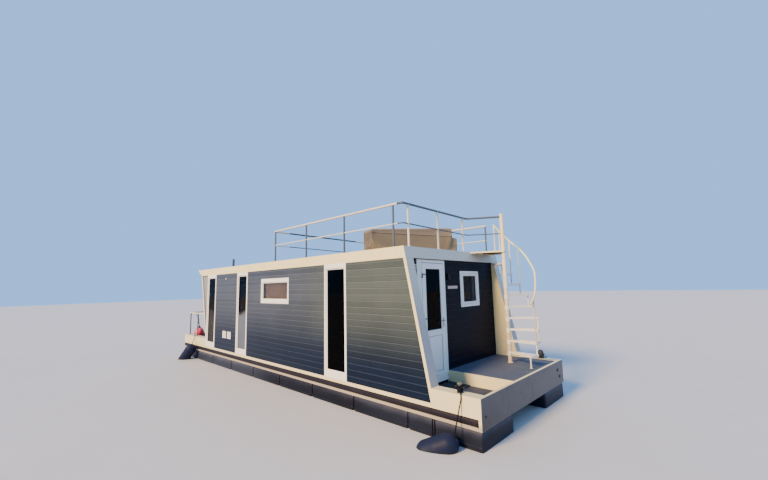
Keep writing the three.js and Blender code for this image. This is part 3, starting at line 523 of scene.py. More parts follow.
STEPS_A_TURN, TURNS, COIL_RADIUS, COIL_START = 18, 4.6, 0.029 + 0.01, -2.2
CROSSINGS = mm(45, -30, 72, 0, 45, 32, -45, -34, -72, 0, -45, 34, 46, -36)
coil = []
for i in range(int(TURNS * STEPS_A_TURN) + 1):
    a = COIL_START + 2 * pi * i / STEPS_A_TURN
    coil.append((BOLLARD_X + COIL_RADIUS * cos(a), -RIM_MIDDLE + COIL_RADIUS * sin(a),
                 RIM_TOP + 0.006 + 0.01 + 0.0195 * i / STEPS_A_TURN))
figure_eight = [(BOLLARD_X + x, -RIM_MIDDLE + y, RIM_TOP + 0.073 + 0.01 * (i % 3))
                for i, (x, y) in enumerate(CROSSINGS)]
piece("bollard_rope", [tube(coil, 0.01, 8), tube(figure_eight, 0.009, 8, 0.03)], [dark_rope], "front_bulwark")
HOOD = mm(52, 10, 60, 30, 63, 70, 56, 115, 46, 150, 24, 168, 0, 172)
piece("bollard_hood_left", [turned(HOOD, (BOLLARD_X, RIM_MIDDLE, RIM_TOP))], [rubber], "front_bulwark")

HORN = mm(0, -104, 9, -100, 13, -80, 14, 0, 13, 80, 9, 100, 0, 104)
STEM = mm(20, 0, 20, 5, 12, 10, 11, 42)
for side, sign in SIDES:
    y = sign * RIM_MIDDLE
    solids = [turned(HORN, (CLEAT_X, y, RIM_TOP + 0.042), (1, 0, 0), 14)]
    solids += [turned(STEM, (CLEAT_X + away, y, RIM_TOP), sides=14) for away in (-0.035, 0.035)]
    solids.append(block(CLEAT_X - 0.06, CLEAT_X + 0.06, y - 0.026, y + 0.026, RIM_TOP, RIM_TOP + 0.004))
    piece("rear_cleat_" + side, solids, [zinc], "rear_bulwark", soften=0.001)

for number, (y, z, radius) in enumerate([(-1.586, 0.86, 0.02), (1.407, 0.965, 0.034), (1.488, 0.833, 0.034)]):
    ring = [(radius - d, out) for d, out in mm(0, 0, 0, 4, 4, 7, 10, 6, 12, 1)]
    piece("grommet_%d" % number, [turned(ring, (BOW, y, z), (1, 0, 0))], [rubber], "front_bulwark")


# Front platform and door mat
# A raised steel platform beside the walkway, gritted on top and painted down its open side, and a ribbed
# rubber mat on the walkway in front of the door.
PLATFORM_TOP, DECK = 1.115, 0.9053
PLATFORM = mm(4640.3, -488, 5949.7, -488, 5949.7, 1509.7, 5190, 1509.7, 5190, 1499.7, 4640.3, 1499.7)
GRITTED = mm(4640.3, -476, 5944, -476, 5944, 1504, 5200, 1504, 5200, 1494, 4640.3, 1494)
platform = [prism("Z", PLATFORM, DECK, PLATFORM_TOP - 0.0015), (*prism("Z", GRITTED, 1.1, PLATFORM_TOP), 1)]
piece("platform_box", platform, [cream, grit], "front_platform", slot="deck_coating", soften=0.0015)

matting = Finish("door_mat", "mat", Roughness=0.9)
matting.mottle((0.014, 0.015, 0.021), (0.04, 0.042, 0.054), 8, 5)
matting.tint(((60, 3), 0.6, 0.8, 0, 0.3), (0.14, 0.13, 0.12))
matting.pitted(0.001, 200, 2)
MAT_X0, MAT_X1, MAT_Y0, MAT_Y1 = 4.69, 5.12, -1.485, -0.513
MAT_BASE, MAT_RIM, MAT_RIM_TOP = 0.918, 0.015, 0.9265
solids = [block(MAT_X0, MAT_X1, MAT_Y0, MAT_Y1, DECK, MAT_BASE)]
for x0, x1, y0, y1 in (
    (MAT_X0, MAT_X1, MAT_Y0, MAT_Y0 + MAT_RIM), (MAT_X0, MAT_X1, MAT_Y1 - MAT_RIM, MAT_Y1),
    (MAT_X0, MAT_X0 + MAT_RIM, MAT_Y0, MAT_Y1), (MAT_X1 - MAT_RIM, MAT_X1, MAT_Y0, MAT_Y1),
):
    solids.append(block(x0, x1, y0, y1, DECK, MAT_RIM_TOP))
for k in range(26):
    x = 4.712 + 0.0151 * k
    solids.append(block(x, x + 0.008, -1.468, -0.53, 0.916, 0.9262))
piece("mat_ribbed", solids, [matting], "door_mat", soften=0.0012)


# Side walls
# Insulated panels faced with grooved composite boards in slate grey. Each board shows the embossed grain
# of its face and a small shift of tone, and is painted darker at the foot and lighter higher up as painted
# reflection. A pale line of dust and painted highlight runs along each upper edge.
BOARD, JOINT, BOARD_FACE, BOARD_BACK = 0.1195, 0.002, 0.0075, -0.001
WALL_LOW, WALL_HIGH = DECK, 3.2067
SMALL_WINDOW = (-0.34, 1.01, 2.35, 2.98)
TALL_WINDOWS = {
    "right": [("aft", -4.02, -3.32), ("mid", -1.79, -1.13), ("fore", 2.42, 3.13)],
    "left": [("aft", -4.02, -3.32), ("fore", 2.42, 3.13)],
}

boards = Finish("slate_boards", "boarding", Specular_IOR_Level=0.15)
rise = boards.sum("DIVIDE", boards.sum("SUBTRACT", boards.z, SILL_TOP), BOARD)
toss = boards.node("TexWhiteNoise", {}, noise_dimensions="1D")
boards.feed(toss, "W", boards.sum("FLOOR", rise))
boards.pattern = boards.grain(1.0, 5, 0.65, (7, 7, 260))
faded = boards.share((0.8, 4, 0.6), 0.35, 0.7)
# Painted reflection: the boards are darker towards the foot and lighter higher up, with an upper tone that
# shifts along the wall, standing in for the sky they reflect.
height = boards.share(boards.z, 1.15, 2.55)
reflection_tone = boards.mix(boards.share(boards.x, 0.8, 3.4), (0.062, 0.076, 0.104), (0.078, 0.098, 0.092))
dark = boards.mix(height, (0.0012, 0.0042, 0.015), boards.mix(0.45, reflection_tone, (0.0, 0.0, 0.0)))
light = boards.mix(height, (0.004, 0.01, 0.028), reflection_tone)
change = boards.plus(boards.times(toss.outputs["Value"], 0.38), boards.times(faded, 0.35))
change = boards.plus(boards.share(boards.pattern, 0.35, 0.65, 0.0, 0.4), change)
boards.colour(boards.mix(change, dark, light))
# Pale lines along each board's upper edge: dust, and a painted highlight where the edge catches the light.
dust_and_highlight = boards.share(boards.sum("FRACT", rise), 0.905, 0.93)
boards.tint(boards.times(dust_and_highlight, 0.5), boards.mix(height, (0.05, 0.08, 0.14), (0.2, 0.23, 0.235)))
boards.uneven(0.24, 0.38).pitted(0.0007)

core = Finish("wall_core").mottle((0.16, 0.145, 0.125), (0.22, 0.2, 0.175), 1.6, 5)
outer = core.sum("MAXIMUM", core.share(core.x, 4.6, 4.605), core.share(core.x, -3.985, -3.99))
outer = core.sum("MAXIMUM", core.share(core.sum("ABSOLUTE", core.y), 1.66, 1.665), outer)
core.tint(outer, (0.01, 0.011, 0.014))
core.uneven(0.6, 0.85, 9).pitted(0.0005, 90, 2)


def coat(node, finish):
    """Gives a solid of the frame that stays as it is a finish of its own."""
    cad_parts[node].data.materials.clear()
    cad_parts[node].data.materials.append(finish.stuff)


def board_face(place, left, right, holes=()):
    """Boards between two edges, each given at the foot and the head of the wall, notched round holes."""
    def edge(pair, z):
        return pair[0] + (pair[1] - pair[0]) * (z - WALL_LOW) / (WALL_HIGH - WALL_LOW)

    outlines = []
    for k in range(20):
        low = max(SILL_TOP + k * BOARD + JOINT, WALL_LOW)
        high = min(SILL_TOP + (k + 1) * BOARD - JOINT, WALL_HIGH)
        if high - low < 0.01:
            continue
        foot, head = [(edge(left, low), low)], [(edge(left, high), high)]
        for a0, a1, z0, z1 in sorted(holes):
            if z1 < low + JOINT or z0 > high - JOINT:
                continue
            if z0 > low + JOINT:
                head += [(a0, high), (a0, z0), (a1, z0), (a1, high)]
            elif z1 < high - JOINT:
                foot += [(a0, low), (a0, z1), (a1, z1), (a1, low)]
            else:
                outlines.append(foot + [(a0, low), (a0, high)] + head[::-1])
                foot, head = [(a1, low)], [(a1, high)]
        outlines.append(foot + [(edge(right, low), low), (edge(right, high), high)] + head[::-1])
    return [loft([[place(a, z, out) for a, z in outline] for out in (BOARD_BACK, BOARD_FACE)])
            for outline in outlines]


def on_side(sign, face=1.7):
    return lambda a, b, out: (a, sign * (face + out), b)


for side, sign in SIDES:
    windows = TALL_WINDOWS[side]
    for i, (name, _, x0) in enumerate(windows):
        last = i + 1 == len(windows)
        if last:
            right_edge = tuple(front_edge(z) - 0.0603 for z in (WALL_LOW, WALL_HIGH))
        else:
            right_edge = (windows[i + 1][1] - 0.0003,) * 2
        holes = [] if last or (side == "right" and name == "aft") else [SMALL_WINDOW]
        solids = board_face(on_side(sign), (x0 + 0.0003,) * 2, right_edge, holes)
        piece("boards_" + side + "_" + name, solids, [boards], soften=0.003)
        coat("side_panel_" + side + "_" + name, core)


# Windows
# White lacquered frames, mitred at the corners, with a black seal round double glass: dark in the front
# pair, and in the others paler low down as a painted reflection of the water. The tall ones run from the
# sill to the roof, and slatted blinds hang behind the small ones.
WINDOW_PROFILE = mm(0, -90, 0, 3, 3, 6, 50, 6, 53, 3, 55, -10, 69, -16, 75.2, -20, 75.2, -90)
SEALS = [[(0.0745, out), (0.082, lip), (0.082, back), (0.0745, back)]
         for out, lip, back in ((-0.024, -0.026, -0.0325), (-0.058, -0.058, -0.066))]
FRAME_FOOT, FRAME_HEAD = 0.075, 0.04
SLAT_PITCH, SLAT_TILT, SLAT_DEEP, SLAT_THICK = 0.012, 0.008, -0.105, 0.002
white = painted("white_lacquer", "white_frame", (0.8, 0.8, 0.76), (0.44, 0.41, 0.35))


def glass(name, first, second, ior):
    """Tinted glass, a little smeared."""
    made = Finish(name, Transmission_Weight=1.0, IOR=ior).mottle(first, second, 1.7, 5, 0.6)
    made.rough(made.share(made.pattern, 0.45, 0.8, 0.0, 0.05))
    return made


reflecting_glass = glass("tinted_glass", (0.12, 0.15, 0.21), (0.22, 0.26, 0.35), 1.08)
# Painted reflection: low down the glass is paler, bluer and less clear, standing in for the water it
# reflects; the aft windows get less of it.
painted_reflection = reflecting_glass.share(reflecting_glass.plus(reflecting_glass.z, reflecting_glass.times(reflecting_glass.pattern, 0.35)), 2.36, 2.12)
painted_reflection = reflecting_glass.times(painted_reflection, reflecting_glass.share(reflecting_glass.x, -2.6, -2.5, 0.35, 1.0))
bare = reflecting_glass.mix(reflecting_glass.pattern, (0.1, 0.085, 0.07), (0.17, 0.15, 0.13))
reflecting_glass.colour(reflecting_glass.mix(painted_reflection, bare, reflecting_glass.tone))
reflecting_glass.feed(reflecting_glass.shader, "Transmission Weight", reflecting_glass.share(painted_reflection, 0.0, 1.0, 1.0, 0.45))
dark_pane = glass("dark_glass", (0.012, 0.014, 0.02), (0.03, 0.032, 0.036), 1.1)
clear = glass("clear_glass", (0.6, 0.61, 0.6), (0.74, 0.75, 0.74), 1.2)


def slats(name, first, second):
    return Finish(name, "white_frame", Roughness=0.85).mottle(first, second, 3.0, 4).pitted(0.0005, 300, 2)


def mitred(place, a0, a1, b0, b1, profile, foot=0.0, head=0.0):
    """A frame of one profile, whose foot and head bars can be broader than its sides."""
    points = []
    for sa, sb in ((1, 1), (-1, 1), (-1, -1), (1, -1)):
        a, b, more = (a0 if sa > 0 else a1), (b0 if sb > 0 else b1), (foot if sb > 0 else head)
        for inset, out in profile:
            points.append(place(a + sa * inset, b + sb * (inset + (more if inset > 0.004 else 0.0)), out))
    n = len(profile)
    faces = []
    for r in range(4):
        for i in range(n):
            j, s = (i + 1) % n, (r + 1) % 4
            faces.append([r * n + i, r * n + j, s * n + j, s * n + i])
    return points, faces


def blind(name, axis, place, foot, count, a0, a1, finish):
    """A pleated sheet of slats behind a pane, drawn out along the window."""
    front = [place(0, foot + SLAT_PITCH * k, SLAT_DEEP - SLAT_TILT * (k % 2)) for k in range(count)]
    back = [place(0, foot + SLAT_PITCH * k, SLAT_DEEP - SLAT_TILT * (k % 2) - SLAT_THICK)
            for k in reversed(range(count))]
    flat = [(p[1 if axis == "X" else 0], p[2]) for p in front + back]
    piece(name, [prism(axis, flat, a0, a1)], [finish])


warm_slats = slats("slatted_blind", (0.3, 0.2, 0.13), (0.42, 0.29, 0.2))
for side, sign in SIDES:
    place = on_side(sign, SIDE)
    openings = [(*window, WALL_LOW, WALL_HIGH) for window in TALL_WINDOWS[side]]
    for name, x0, x1, z0, z1 in openings + [("small", *SMALL_WINDOW)]:
        node = "window_" + side + "_" + name
        more = (FRAME_HEAD if name == "small" else FRAME_FOOT, FRAME_HEAD)
        rings = [mitred(place, x0, x1, z0, z1, WINDOW_PROFILE, *more)]
        rings += [(*mitred(place, x0, x1, z0, z1, seal, *more), 1) for seal in SEALS]
        piece(node + "_frame", rings, [white, rubber], node)
        coat(node + "_glass", {"fore": dark_pane, "small": clear}.get(name, reflecting_glass))
    blind("blind_" + side, "X", place, 2.38, 48, SMALL_WINDOW[0] + 0.02, SMALL_WINDOW[1] - 0.02, warm_slats)


# Fins
# The cream ends of the side walls, folded from sheet. They lean aft towards the top, like the roof. The
# boards are let into the front pair, and the rear pair has a sunk panel painted dark grey.
STRIP, FOOT_HIGH = 0.06, 0.25
FIN_INSIDE, SUNK, FRONT_BACK, REAR_BACK = 1.5, 1.665, 4.6403, -4.0203
# The sunk panel of the rear fins is painted dark grey.
dull_cream = painted("dull_cream", "cream_paint", (0.25, 0.25, 0.24), (0.14, 0.13, 0.12))


def between(first, second, low, high):
    """An outline from one edge to another, each given by where it lies at a height."""
    return [(first(low), low), (second(low), low), (second(high), high), (first(high), high)]


def back(z):
    return REAR_BACK


def post_edge(z):
    return rear_edge(z) + STRIP


for side, sign in SIDES:
    low, high = WALL_LOW, WALL_HIGH
    outer, pocket = sign * SIDE, sign * (SIDE - 0.0503)
    whole = between(lambda z: FRONT_BACK, front_edge, low, high)
    strip = between(lambda z: front_edge(z) - STRIP, front_edge, low, high)
    solids = [prism("Y", whole, sign * FIN_INSIDE, pocket), prism("Y", strip, pocket, outer)]
    piece("front_fin_sheet_" + side, solids, [cream], "front_fin_" + side, soften=0.004)
    low = RIM_TOP + 0.0003
    step = low + FOOT_HIGH
    panel = [(post_edge(step) + 0.001, step + 0.001), (REAR_BACK, step + 0.001), (REAR_BACK, high - 0.001),
             (post_edge(high) + 0.001, high - 0.001)]
    solids = [
        prism("Y", between(rear_edge, back, low, high), sign * FIN_INSIDE, sign * SUNK),
        prism("Y", between(rear_edge, post_edge, low, high), sign * SUNK, outer),
        prism("Y", between(post_edge, back, low, step), sign * SUNK, outer),
        (*prism("Y", panel, sign * (SUNK - 0.001), sign * (SUNK + 0.0015)), 1),
    ]
    piece("rear_fin_sheet_" + side, solids, [cream, dull_cream], "rear_fin_" + side, soften=0.0012)


# Front wall
# The same boards between the fins, with a darker copy of their finish as painted shade, with the door to
# starboard and one window of smoked glass with a grey blind. A small lamp, a blank enamelled plate and a
# hook are screwed on beside the door.
DOOR = (-1.347, -0.49, 0.96, 3.195)
DOORWAY = (-1.227, -0.54, 1.086, 3.135)
FRONT_WINDOW = (0.087, 0.827, 2.26, 3.0)
FRONT_FACE, FRONT_BOARDS = 4.64, 4.6476
SASH_PROFILE = mm(
    0, -90, 0, 21, 3, 24, 44, 24, 47, 21, 48, 12, 51, 12, 52, 27, 56, 31, 90, 31, 94, 27, 105.2, 4,
    105.2, -90,
)
SASH_SEAL = mm(104.5, 1, 112, -2, 112, -16.5, 104.5, -16.5)

# Painted shade: a darker copy of the slate boards, with less sheen, for the front wall, which stands in
# shade.
shaded = Finish("shaded_boards", "boarding", Specular_IOR_Level=0.06)
shaded.mottle((0.0012, 0.0024, 0.008), (0.0026, 0.0046, 0.0135), 1.0, 5, 0.65, (7, 7, 260))
shaded.tint(((0.9, 5), 0.5, 0.75, 0.0, 0.3), (0.003, 0.005, 0.011))
rise = shaded.sum("DIVIDE", shaded.sum("SUBTRACT", shaded.z, SILL_TOP), BOARD)
# Pale lines along the upper edges: dust and painted highlight.
dust_and_highlight = shaded.share(shaded.sum("FRACT", rise), 0.88, 0.91, 0.0, 0.6)
shaded.tint(dust_and_highlight, (0.014, 0.016, 0.024))
shaded.uneven(0.34, 0.5).pitted(0.0008)


def on_front(a, b, out):
    return (FRONT_FACE + out, a, b)


boards_front = board_face(on_front, (-1.4995,) * 2, (1.4995,) * 2, [DOOR, FRONT_WINDOW])
piece("boards_front", boards_front, [shaded], soften=0.003)
coat("front_wall", core)
rings = [mitred(on_front, *FRONT_WINDOW, SASH_PROFILE), (*mitred(on_front, *FRONT_WINDOW, SASH_SEAL), 1)]
piece("front_window_frame", rings, [white, rubber], "front_window")
coat("front_window_glass", glass("smoked_glass", (0.44, 0.4, 0.39), (0.54, 0.5, 0.49), 1.09))
grey_slats = slats("grey_slats", (0.085, 0.07, 0.062), (0.13, 0.108, 0.098))
blind("blind_front", "Y", on_front, 2.31, 54, FRONT_WINDOW[0] + 0.06, FRONT_WINDOW[1] - 0.06, grey_slats)

lamp_black = Finish("lamp_black", Specular_IOR_Level=0.15)
lamp_black.mottle((0.002, 0.002, 0.003), (0.007, 0.007, 0.009), 40)
lamp_black.uneven(0.35, 0.55, 14)
LAMP_MIDDLE, LAMP_HALF_WIDE, LAMP_HALF_HIGH = (-0.38, 2.88), 0.029, 0.064


def lamp_shell(*levels):
    """A box with shrinking levels of (x, share of the width, share of the height)."""
    around = ((-1, -1), (1, -1), (1, 1), (-1, 1))
    return loft([[(x, LAMP_MIDDLE[0] + u * LAMP_HALF_WIDE * f, LAMP_MIDDLE[1] + v * LAMP_HALF_HIGH * g)
                  for u, v in around] for x, f, g in levels])


solids = [lamp_shell((4.6403, 1.0, 1.0), (4.69, 1.0, 1.0), (4.7, 0.86, 0.86)),
          lamp_shell((4.6995, 0.7, 0.75), (4.7005, 0.66, 0.72))]
piece("entrance_lamp_case", solids, [lamp_black], "entrance_lamp", soften=0.003)
enamel = Finish("enamel", "white_frame").mottle((0.4, 0.31, 0.26), (0.5, 0.4, 0.34), 20, 4)
enamel.uneven(0.3, 0.5, 9)
SCREW = mm(5, 0, 5, 1.5, 3, 3, 0, 3.2)
plate = [block(FRONT_BOARDS, FRONT_BOARDS + 0.003, -0.368, -0.018, 2.642, 2.7)]
plate += [(*turned(SCREW, (FRONT_BOARDS + 0.003, y, 2.671), (1, 0, 0), 12), 1) for y in (-0.354, -0.032)]
piece("blank_plate", plate, [enamel, zinc], soften=0.001)
hook = [block(FRONT_BOARDS, FRONT_BOARDS + 0.006, y, -1.352, z, z + 0.02) for y, z in
        ((-1.47, 3.036), (-1.44, 3.08))]
bent_wire = [(4.654, -1.462, 3.046), (4.672, -1.462, 3.05), (4.672, -1.425, 3.09), (4.672, -1.37, 3.09)]
piece("door_hook", hook + [tube(bent_wire, 0.006, 8, 0.01)], [white], soften=0.001)


# Front door
# A white lacquered door in a wide frame. The leaf has a pane over a moulded panel, a lever on each side
# with a long back plate, and three barrel hinges, whose upper halves turn with the leaf.
HINGES, HINGE_HALF = (1.3, 2.1, 2.9), 0.045
LEVER_HEIGHT, LEVER_REACH, LEVER_RADIUS = 2.057, 0.045, 0.0085
bright = Finish("brushed_handle", "rail_steel", Metallic=1.0)
bright.mottle((0.2, 0.2, 0.22), (0.32, 0.32, 0.34), 30, 4)
bright.uneven(0.2, 0.36, 1.0, 3, 0.6, (20, 20, 400))
hinge_grey = Finish("hinge_grey", "white_frame", Metallic=0.3)
hinge_grey.mottle((0.03, 0.032, 0.04), (0.06, 0.062, 0.072), 30, 4)
hinge_grey.uneven(0.4, 0.6, 20)


def plank(place, a0, a1, b0, b1, low, high, pinch=0.0):
    """A flat bar whose front is smaller than its back by the pinch all round."""
    rings = []
    for out, p in ((low, 0.0), (high, pinch)):
        corners = ((a0 + p, b0 + p), (a1 - p, b0 + p), (a1 - p, b1 - p), (a0 + p, b1 - p))
        rings.append([place(a, b, out) for a, b in corners])
    return loft(rings)


def door_frame(place, wide, clear, lip, depth):
    """A moulding round the clear opening, with flat fills from it out to the wide frame's edge."""
    front = [(i, lip + o) for i, o in mm(0, -3, 3, 0, 44, 0, 47, -4, 50, -16)]
    a0, a1, b0, b1 = clear[0] - 0.05, clear[1] + 0.05, clear[2] - 0.05, clear[3] + 0.05
    rings = [mitred(place, a0, a1, b0, b1, [(0.0, -depth), *front, (0.05, -depth)])]
    gap = 0.002
    for edges in ((wide[0], a0 - gap, wide[2], wide[3]), (a0, wide[1], wide[2], b0 - gap),
                  (a1 + gap, wide[1], b0, wide[3]), (a0, a1, b1 + gap, wide[3])):
        if edges[1] - edges[0] > 0.006 and edges[3] - edges[2] > 0.006:
            rings.append(plank(place, *edges, -depth, lip - 0.004))
    return rings


def door_leaf(name, place, edges, side, top, sill, panel, inner, outer, lever, body, node):
    """Stiles and rails round a pane, a moulded panel below it, levers, and seals round the pane."""
    a0, a1, b0, b1 = edges
    p0, p1 = a0 + side, a1 - side
    rails = [(p0, p1, *heights) for heights in ((b1 - top, b1), (panel[1], sill), (b0, panel[0]))]
    solids = [plank(place, *bar, inner, outer) for bar in [(a0, p0, b0, b1), (p1, a1, b0, b1)] + rails]
    hole = (p0, p1, sill, b1 - top)
    bead = [(i, outer + o) for i, o in mm(-12, -2, -8, 3, 2, 2, 6, -10, 6, -16, -12, -16)]
    solids += [mitred(place, *hole, bead), mitred(place, *hole, [(i, inner + outer - o) for i, o in bead])]
    seal = [(i, outer + o) for i, o in mm(0, -12, 9, -12, 9, -15.5, 0, -15.5)]
    solids.append((*mitred(place, *hole, seal), 1))
    if panel[1] - panel[0] > 0.1:
        q0, q1 = panel
        solids.append(plank(place, p0, p1, q0, q1, inner + 0.012, outer - 0.012))
        for face, way in ((outer - 0.012, 1), (inner + 0.012, -1)):
            field = (p0 + 0.035, p1 - 0.035, q0 + 0.035, q1 - 0.035)
            solids.append(plank(place, *field, face, face + way * 0.009, 0.014))
            low, high = face - way * 0.001, face + way * 0.001
            groove = [(0.0, low), (0.0, high), (0.009, high), (0.009, low)]
            solids.append((*mitred(place, p0 + 0.001, p1 - 0.001, q0 + 0.001, q1 - 0.001, groove), 1))
    grip = lever + (-0.115 if lever > (a0 + a1) / 2 else 0.115)
    for face, way in ((outer, 1), (inner, -1)):
        reach = face + way * LEVER_REACH
        path = [place(lever, LEVER_HEIGHT, face), place(lever, LEVER_HEIGHT, reach),
                place(grip, LEVER_HEIGHT - 0.002, reach)]
        outwards = Vector(place(0, 0, way)) - Vector(place(0, 0, 0))
        lock = turned(mm(10.5, 0, 10.5, 11, 0, 11.5), place(lever, 1.962, face), outwards, 18)
        back_plate = plank(place, lever - 0.015, lever + 0.015, 1.93, 2.115, face, face + way * 0.007, 0.002)
        solids += [(*s, 2) for s in (back_plate, tube(path, LEVER_RADIUS, 12, 0.02), lock)]
    piece(name, solids, [white, rubber, bright], node, body=body, soften=0.002)


def barrels(place, a, out, away, upper):
    """The lower or upper halves of the barrel hinges on their axis, each with its flap."""
    solids = []
    for z in HINGES:
        z0, z1 = (z + 0.0002, z + HINGE_HALF) if upper else (z - HINGE_HALF, z - 0.0002)
        high = z1 - z0
        knuckle = [(0.006, 0.0), (0.009, 0.002), (0.009, high - 0.003), (0.006, high)]
        flap = [(a, out - 0.003), (a + away, out - 0.014), (a + away, out - 0.01), (a, out + 0.003)]
        solids += [turned(knuckle, place(a, z0, out), sides=16),
                   loft([[place(u, z, v) for u, v in flap] for z in (z0 + 0.004, z1 - 0.004)])]
    return solids


rings = door_frame(on_front, DOOR, DOORWAY, 0.032, 0.12)
rings += [(*s, 2) for s in barrels(on_front, -1.224, 0.048, -0.018, False)]
rings.append((*turned(mm(11, 0, 11, 2, 0, 3), (4.672, -0.52, 1.04), (1, 0, 0), 14), 1))
piece("front_door_surround", rings, [white, rubber, hinge_grey], "front_door_frame", soften=0.0015)
door_leaf("front_door_leaf", on_front, (-1.221, -0.55, 1.092, 3.129), 0.104, 0.1, 1.9, (1.15, 1.8),
          -0.02, 0.036, -0.6, "front_door_leaf", "front_door")
halves = barrels(on_front, -1.224, 0.048, 0.018, True)
for z in HINGES:
    halves.append(plank(on_front, -1.215, -1.12, z + 0.012, z + 0.034, 0.036, 0.0395, 0.001))
    for y in (-1.175, -1.135):
        halves.append(turned(mm(4, 0, 3.5, 1, 0, 1.2), on_front(y, z + 0.023, 0.0395), (1, 0, 0), 10))
piece("front_door_hinges", halves, [hinge_grey], "front_door", body="front_door_leaf")
coat("front_door_glass", dark_pane)


# Rear wall
# Boards again, round a pair of glazed doors that open outwards onto the rear deck. The doors are white
# lacquered like the front one, with panes almost down to the sill.
REAR_DOORS, REAR_DOORWAY = (-0.9, 0.9, 1.0, 3.1), (-0.84, 0.84, 1.06, 3.04)
REAR_FACE, REAR_HINGE = -4.02, 0.837


def on_rear(a, b, out):
    return (REAR_FACE - out, a, b)


piece("boards_rear", board_face(on_rear, (-1.6195,) * 2, (1.6195,) * 2, [REAR_DOORS]), [boards], soften=0.003)
coat("rear_wall", core)
rings = door_frame(on_rear, REAR_DOORS, REAR_DOORWAY, 0.012, 0.12)
for _, sign in SIDES:
    rings += barrels(on_rear, sign * REAR_HINGE, 0.028, sign * 0.018, False)
piece("rear_door_surround", rings, [white], "rear_door_frame", soften=0.0015)
for side, sign in SIDES:
    near, far = sorted((sign * 0.005, sign * 0.834))
    node, body = "rear_door_" + side, "rear_door_leaf_" + side
    door_leaf("rear_leaf_" + side, on_rear, (near, far, 1.066, 3.034), 0.1, 0.1, 1.206, (1.205, 1.2055),
              -0.04, 0.016, sign * 0.055, body, node)
    halves = barrels(on_rear, sign * REAR_HINGE, 0.028, -sign * 0.018, True)
    piece("rear_hinges_" + side, halves, [white], node, body=body)
    coat(node + "_glass", reflecting_glass)


# Roof
# One flat roof that overhangs the rear deck, with cream sheet round its edge, joined twice along each
# side, and a grey welded membrane on top.
ROOF_LOW, ROOF_TOP = 3.207, 3.416
MEMBRANE_EDGE, SHEET_JOINTS = 1.675, (-1.35, 1.52)
membrane = Finish("roof_membrane")
lap = membrane.sum("FRACT", membrane.sum("DIVIDE", membrane.x, 1.05))
lap = membrane.share(membrane.sum("ABSOLUTE", membrane.sum("SUBTRACT", lap, 0.5)), 0.484, 0.494)
puddle = membrane.share((0.7, 5, 0.6), 0.5, 0.66)
membrane.mottle((0.15, 0.153, 0.16), (0.185, 0.188, 0.195), 6.0, 4)
membrane.tint(membrane.times(puddle, 0.45), (0.25, 0.24, 0.225))
membrane.tint(membrane.times(lap, 0.5), (0.09, 0.09, 0.095))
membrane.rough(membrane.share(puddle, 0.0, 1.0, 0.62, 0.85))
membrane.bump(lap, -0.003)
membrane.pitted(0.0007, 240, 2)

brow = front_edge(ROOF_TOP)
roof = [(-4.61, ROOF_LOW), (front_edge(ROOF_LOW), ROOF_LOW), (brow, ROOF_TOP), (-4.95, ROOF_TOP)]
top = [(x, y * MEMBRANE_EDGE) for x, y in ((-4.915, -1), (brow - 0.03, -1), (brow - 0.03, 1), (-4.915, 1))]
solids = [prism("Y", roof, -SIDE, SIDE), (*prism("Z", top, ROOF_TOP - 0.002, ROOF_TOP + 0.0025), 1)]
for x in SHEET_JOINTS:
    for y0, y1 in ((-1.7106, -1.7), (1.7, 1.7106)):
        solids.append((*block(x - 0.0015, x + 0.0015, y0, y1, ROOF_LOW + 0.004, ROOF_TOP - 0.002), 2))
piece("roof_shell", solids, [cream, membrane, rubber], "roof", soften=0.004)


# Spiral stair
# A steel pole on a plain foot, with folded pan treads on sleeves round it. The outer corner of each
# tread stands on a rod from the tread below, and a bent rail follows the outer ends. The landing is dark
# rust brown underneath, as rust and as painted shade.
POLE, ROD_RADIUS, ROD_THICK = (5.279, 0.847), 0.583, 0.0135
TREADS = [(-14 + 18 * k, 1.342 + 0.228 * k) for k in range(9)]
TREAD_OUTLINE = [
    (-60, 0.044), (-13, 0.56), (-12.4, 0.596), (-9, 0.605),
    (9, 0.605), (12.4, 0.596), (13, 0.56), (60, 0.044),
]
GRIPS = [(-7.5, 0.2, 0.56), (0, 0.16, 0.56), (7.5, 0.2, 0.56)]
SLEEVE = mm(40.5, -83, 45.5, -83, 46, -80, 46, -3, 45, 0, 40.5, 0)
HANDRAIL = [
    (-16, 2.305), (-2, 2.445), (8, 2.6), (17, 2.765), (28, 2.93), (43, 3.06), (64, 3.3), (80, 3.475),
    (95, 3.615), (108, 3.757), (121, 3.908), (134, 4.07),
]
RAIL_THICK = 0.019
# Painted shade: the stair paint darkens towards the foot.
stair_cream = painted(
    "stair_cream", "cream_paint", (0.84, 0.75, 0.44), (0.4, 0.32, 0.21), rust=0.25, handled=0.6
)
tread_paint = painted("tread_paint", "cream_paint", (0.66, 0.65, 0.59), (0.34, 0.3, 0.25), rust=0.25)

profile = mm(
    58, 0.3, 58, 8, 55, 10, 45, 11.5, 41, 16, 40, 24, 40, 3080, 41, 3083, 41, 3090, 36, 3094.5, 0, 3094.8,
)
piece("stair_pole_tube", [turned(profile, (*POLE, PLATFORM_TOP), sides=32)], [stair_cream], "stair_pole")


def round_pole(angle, radius, z=0.0):
    return Vector((POLE[0] + radius * cos(radians(angle)), POLE[1] + radius * sin(radians(angle)), z))


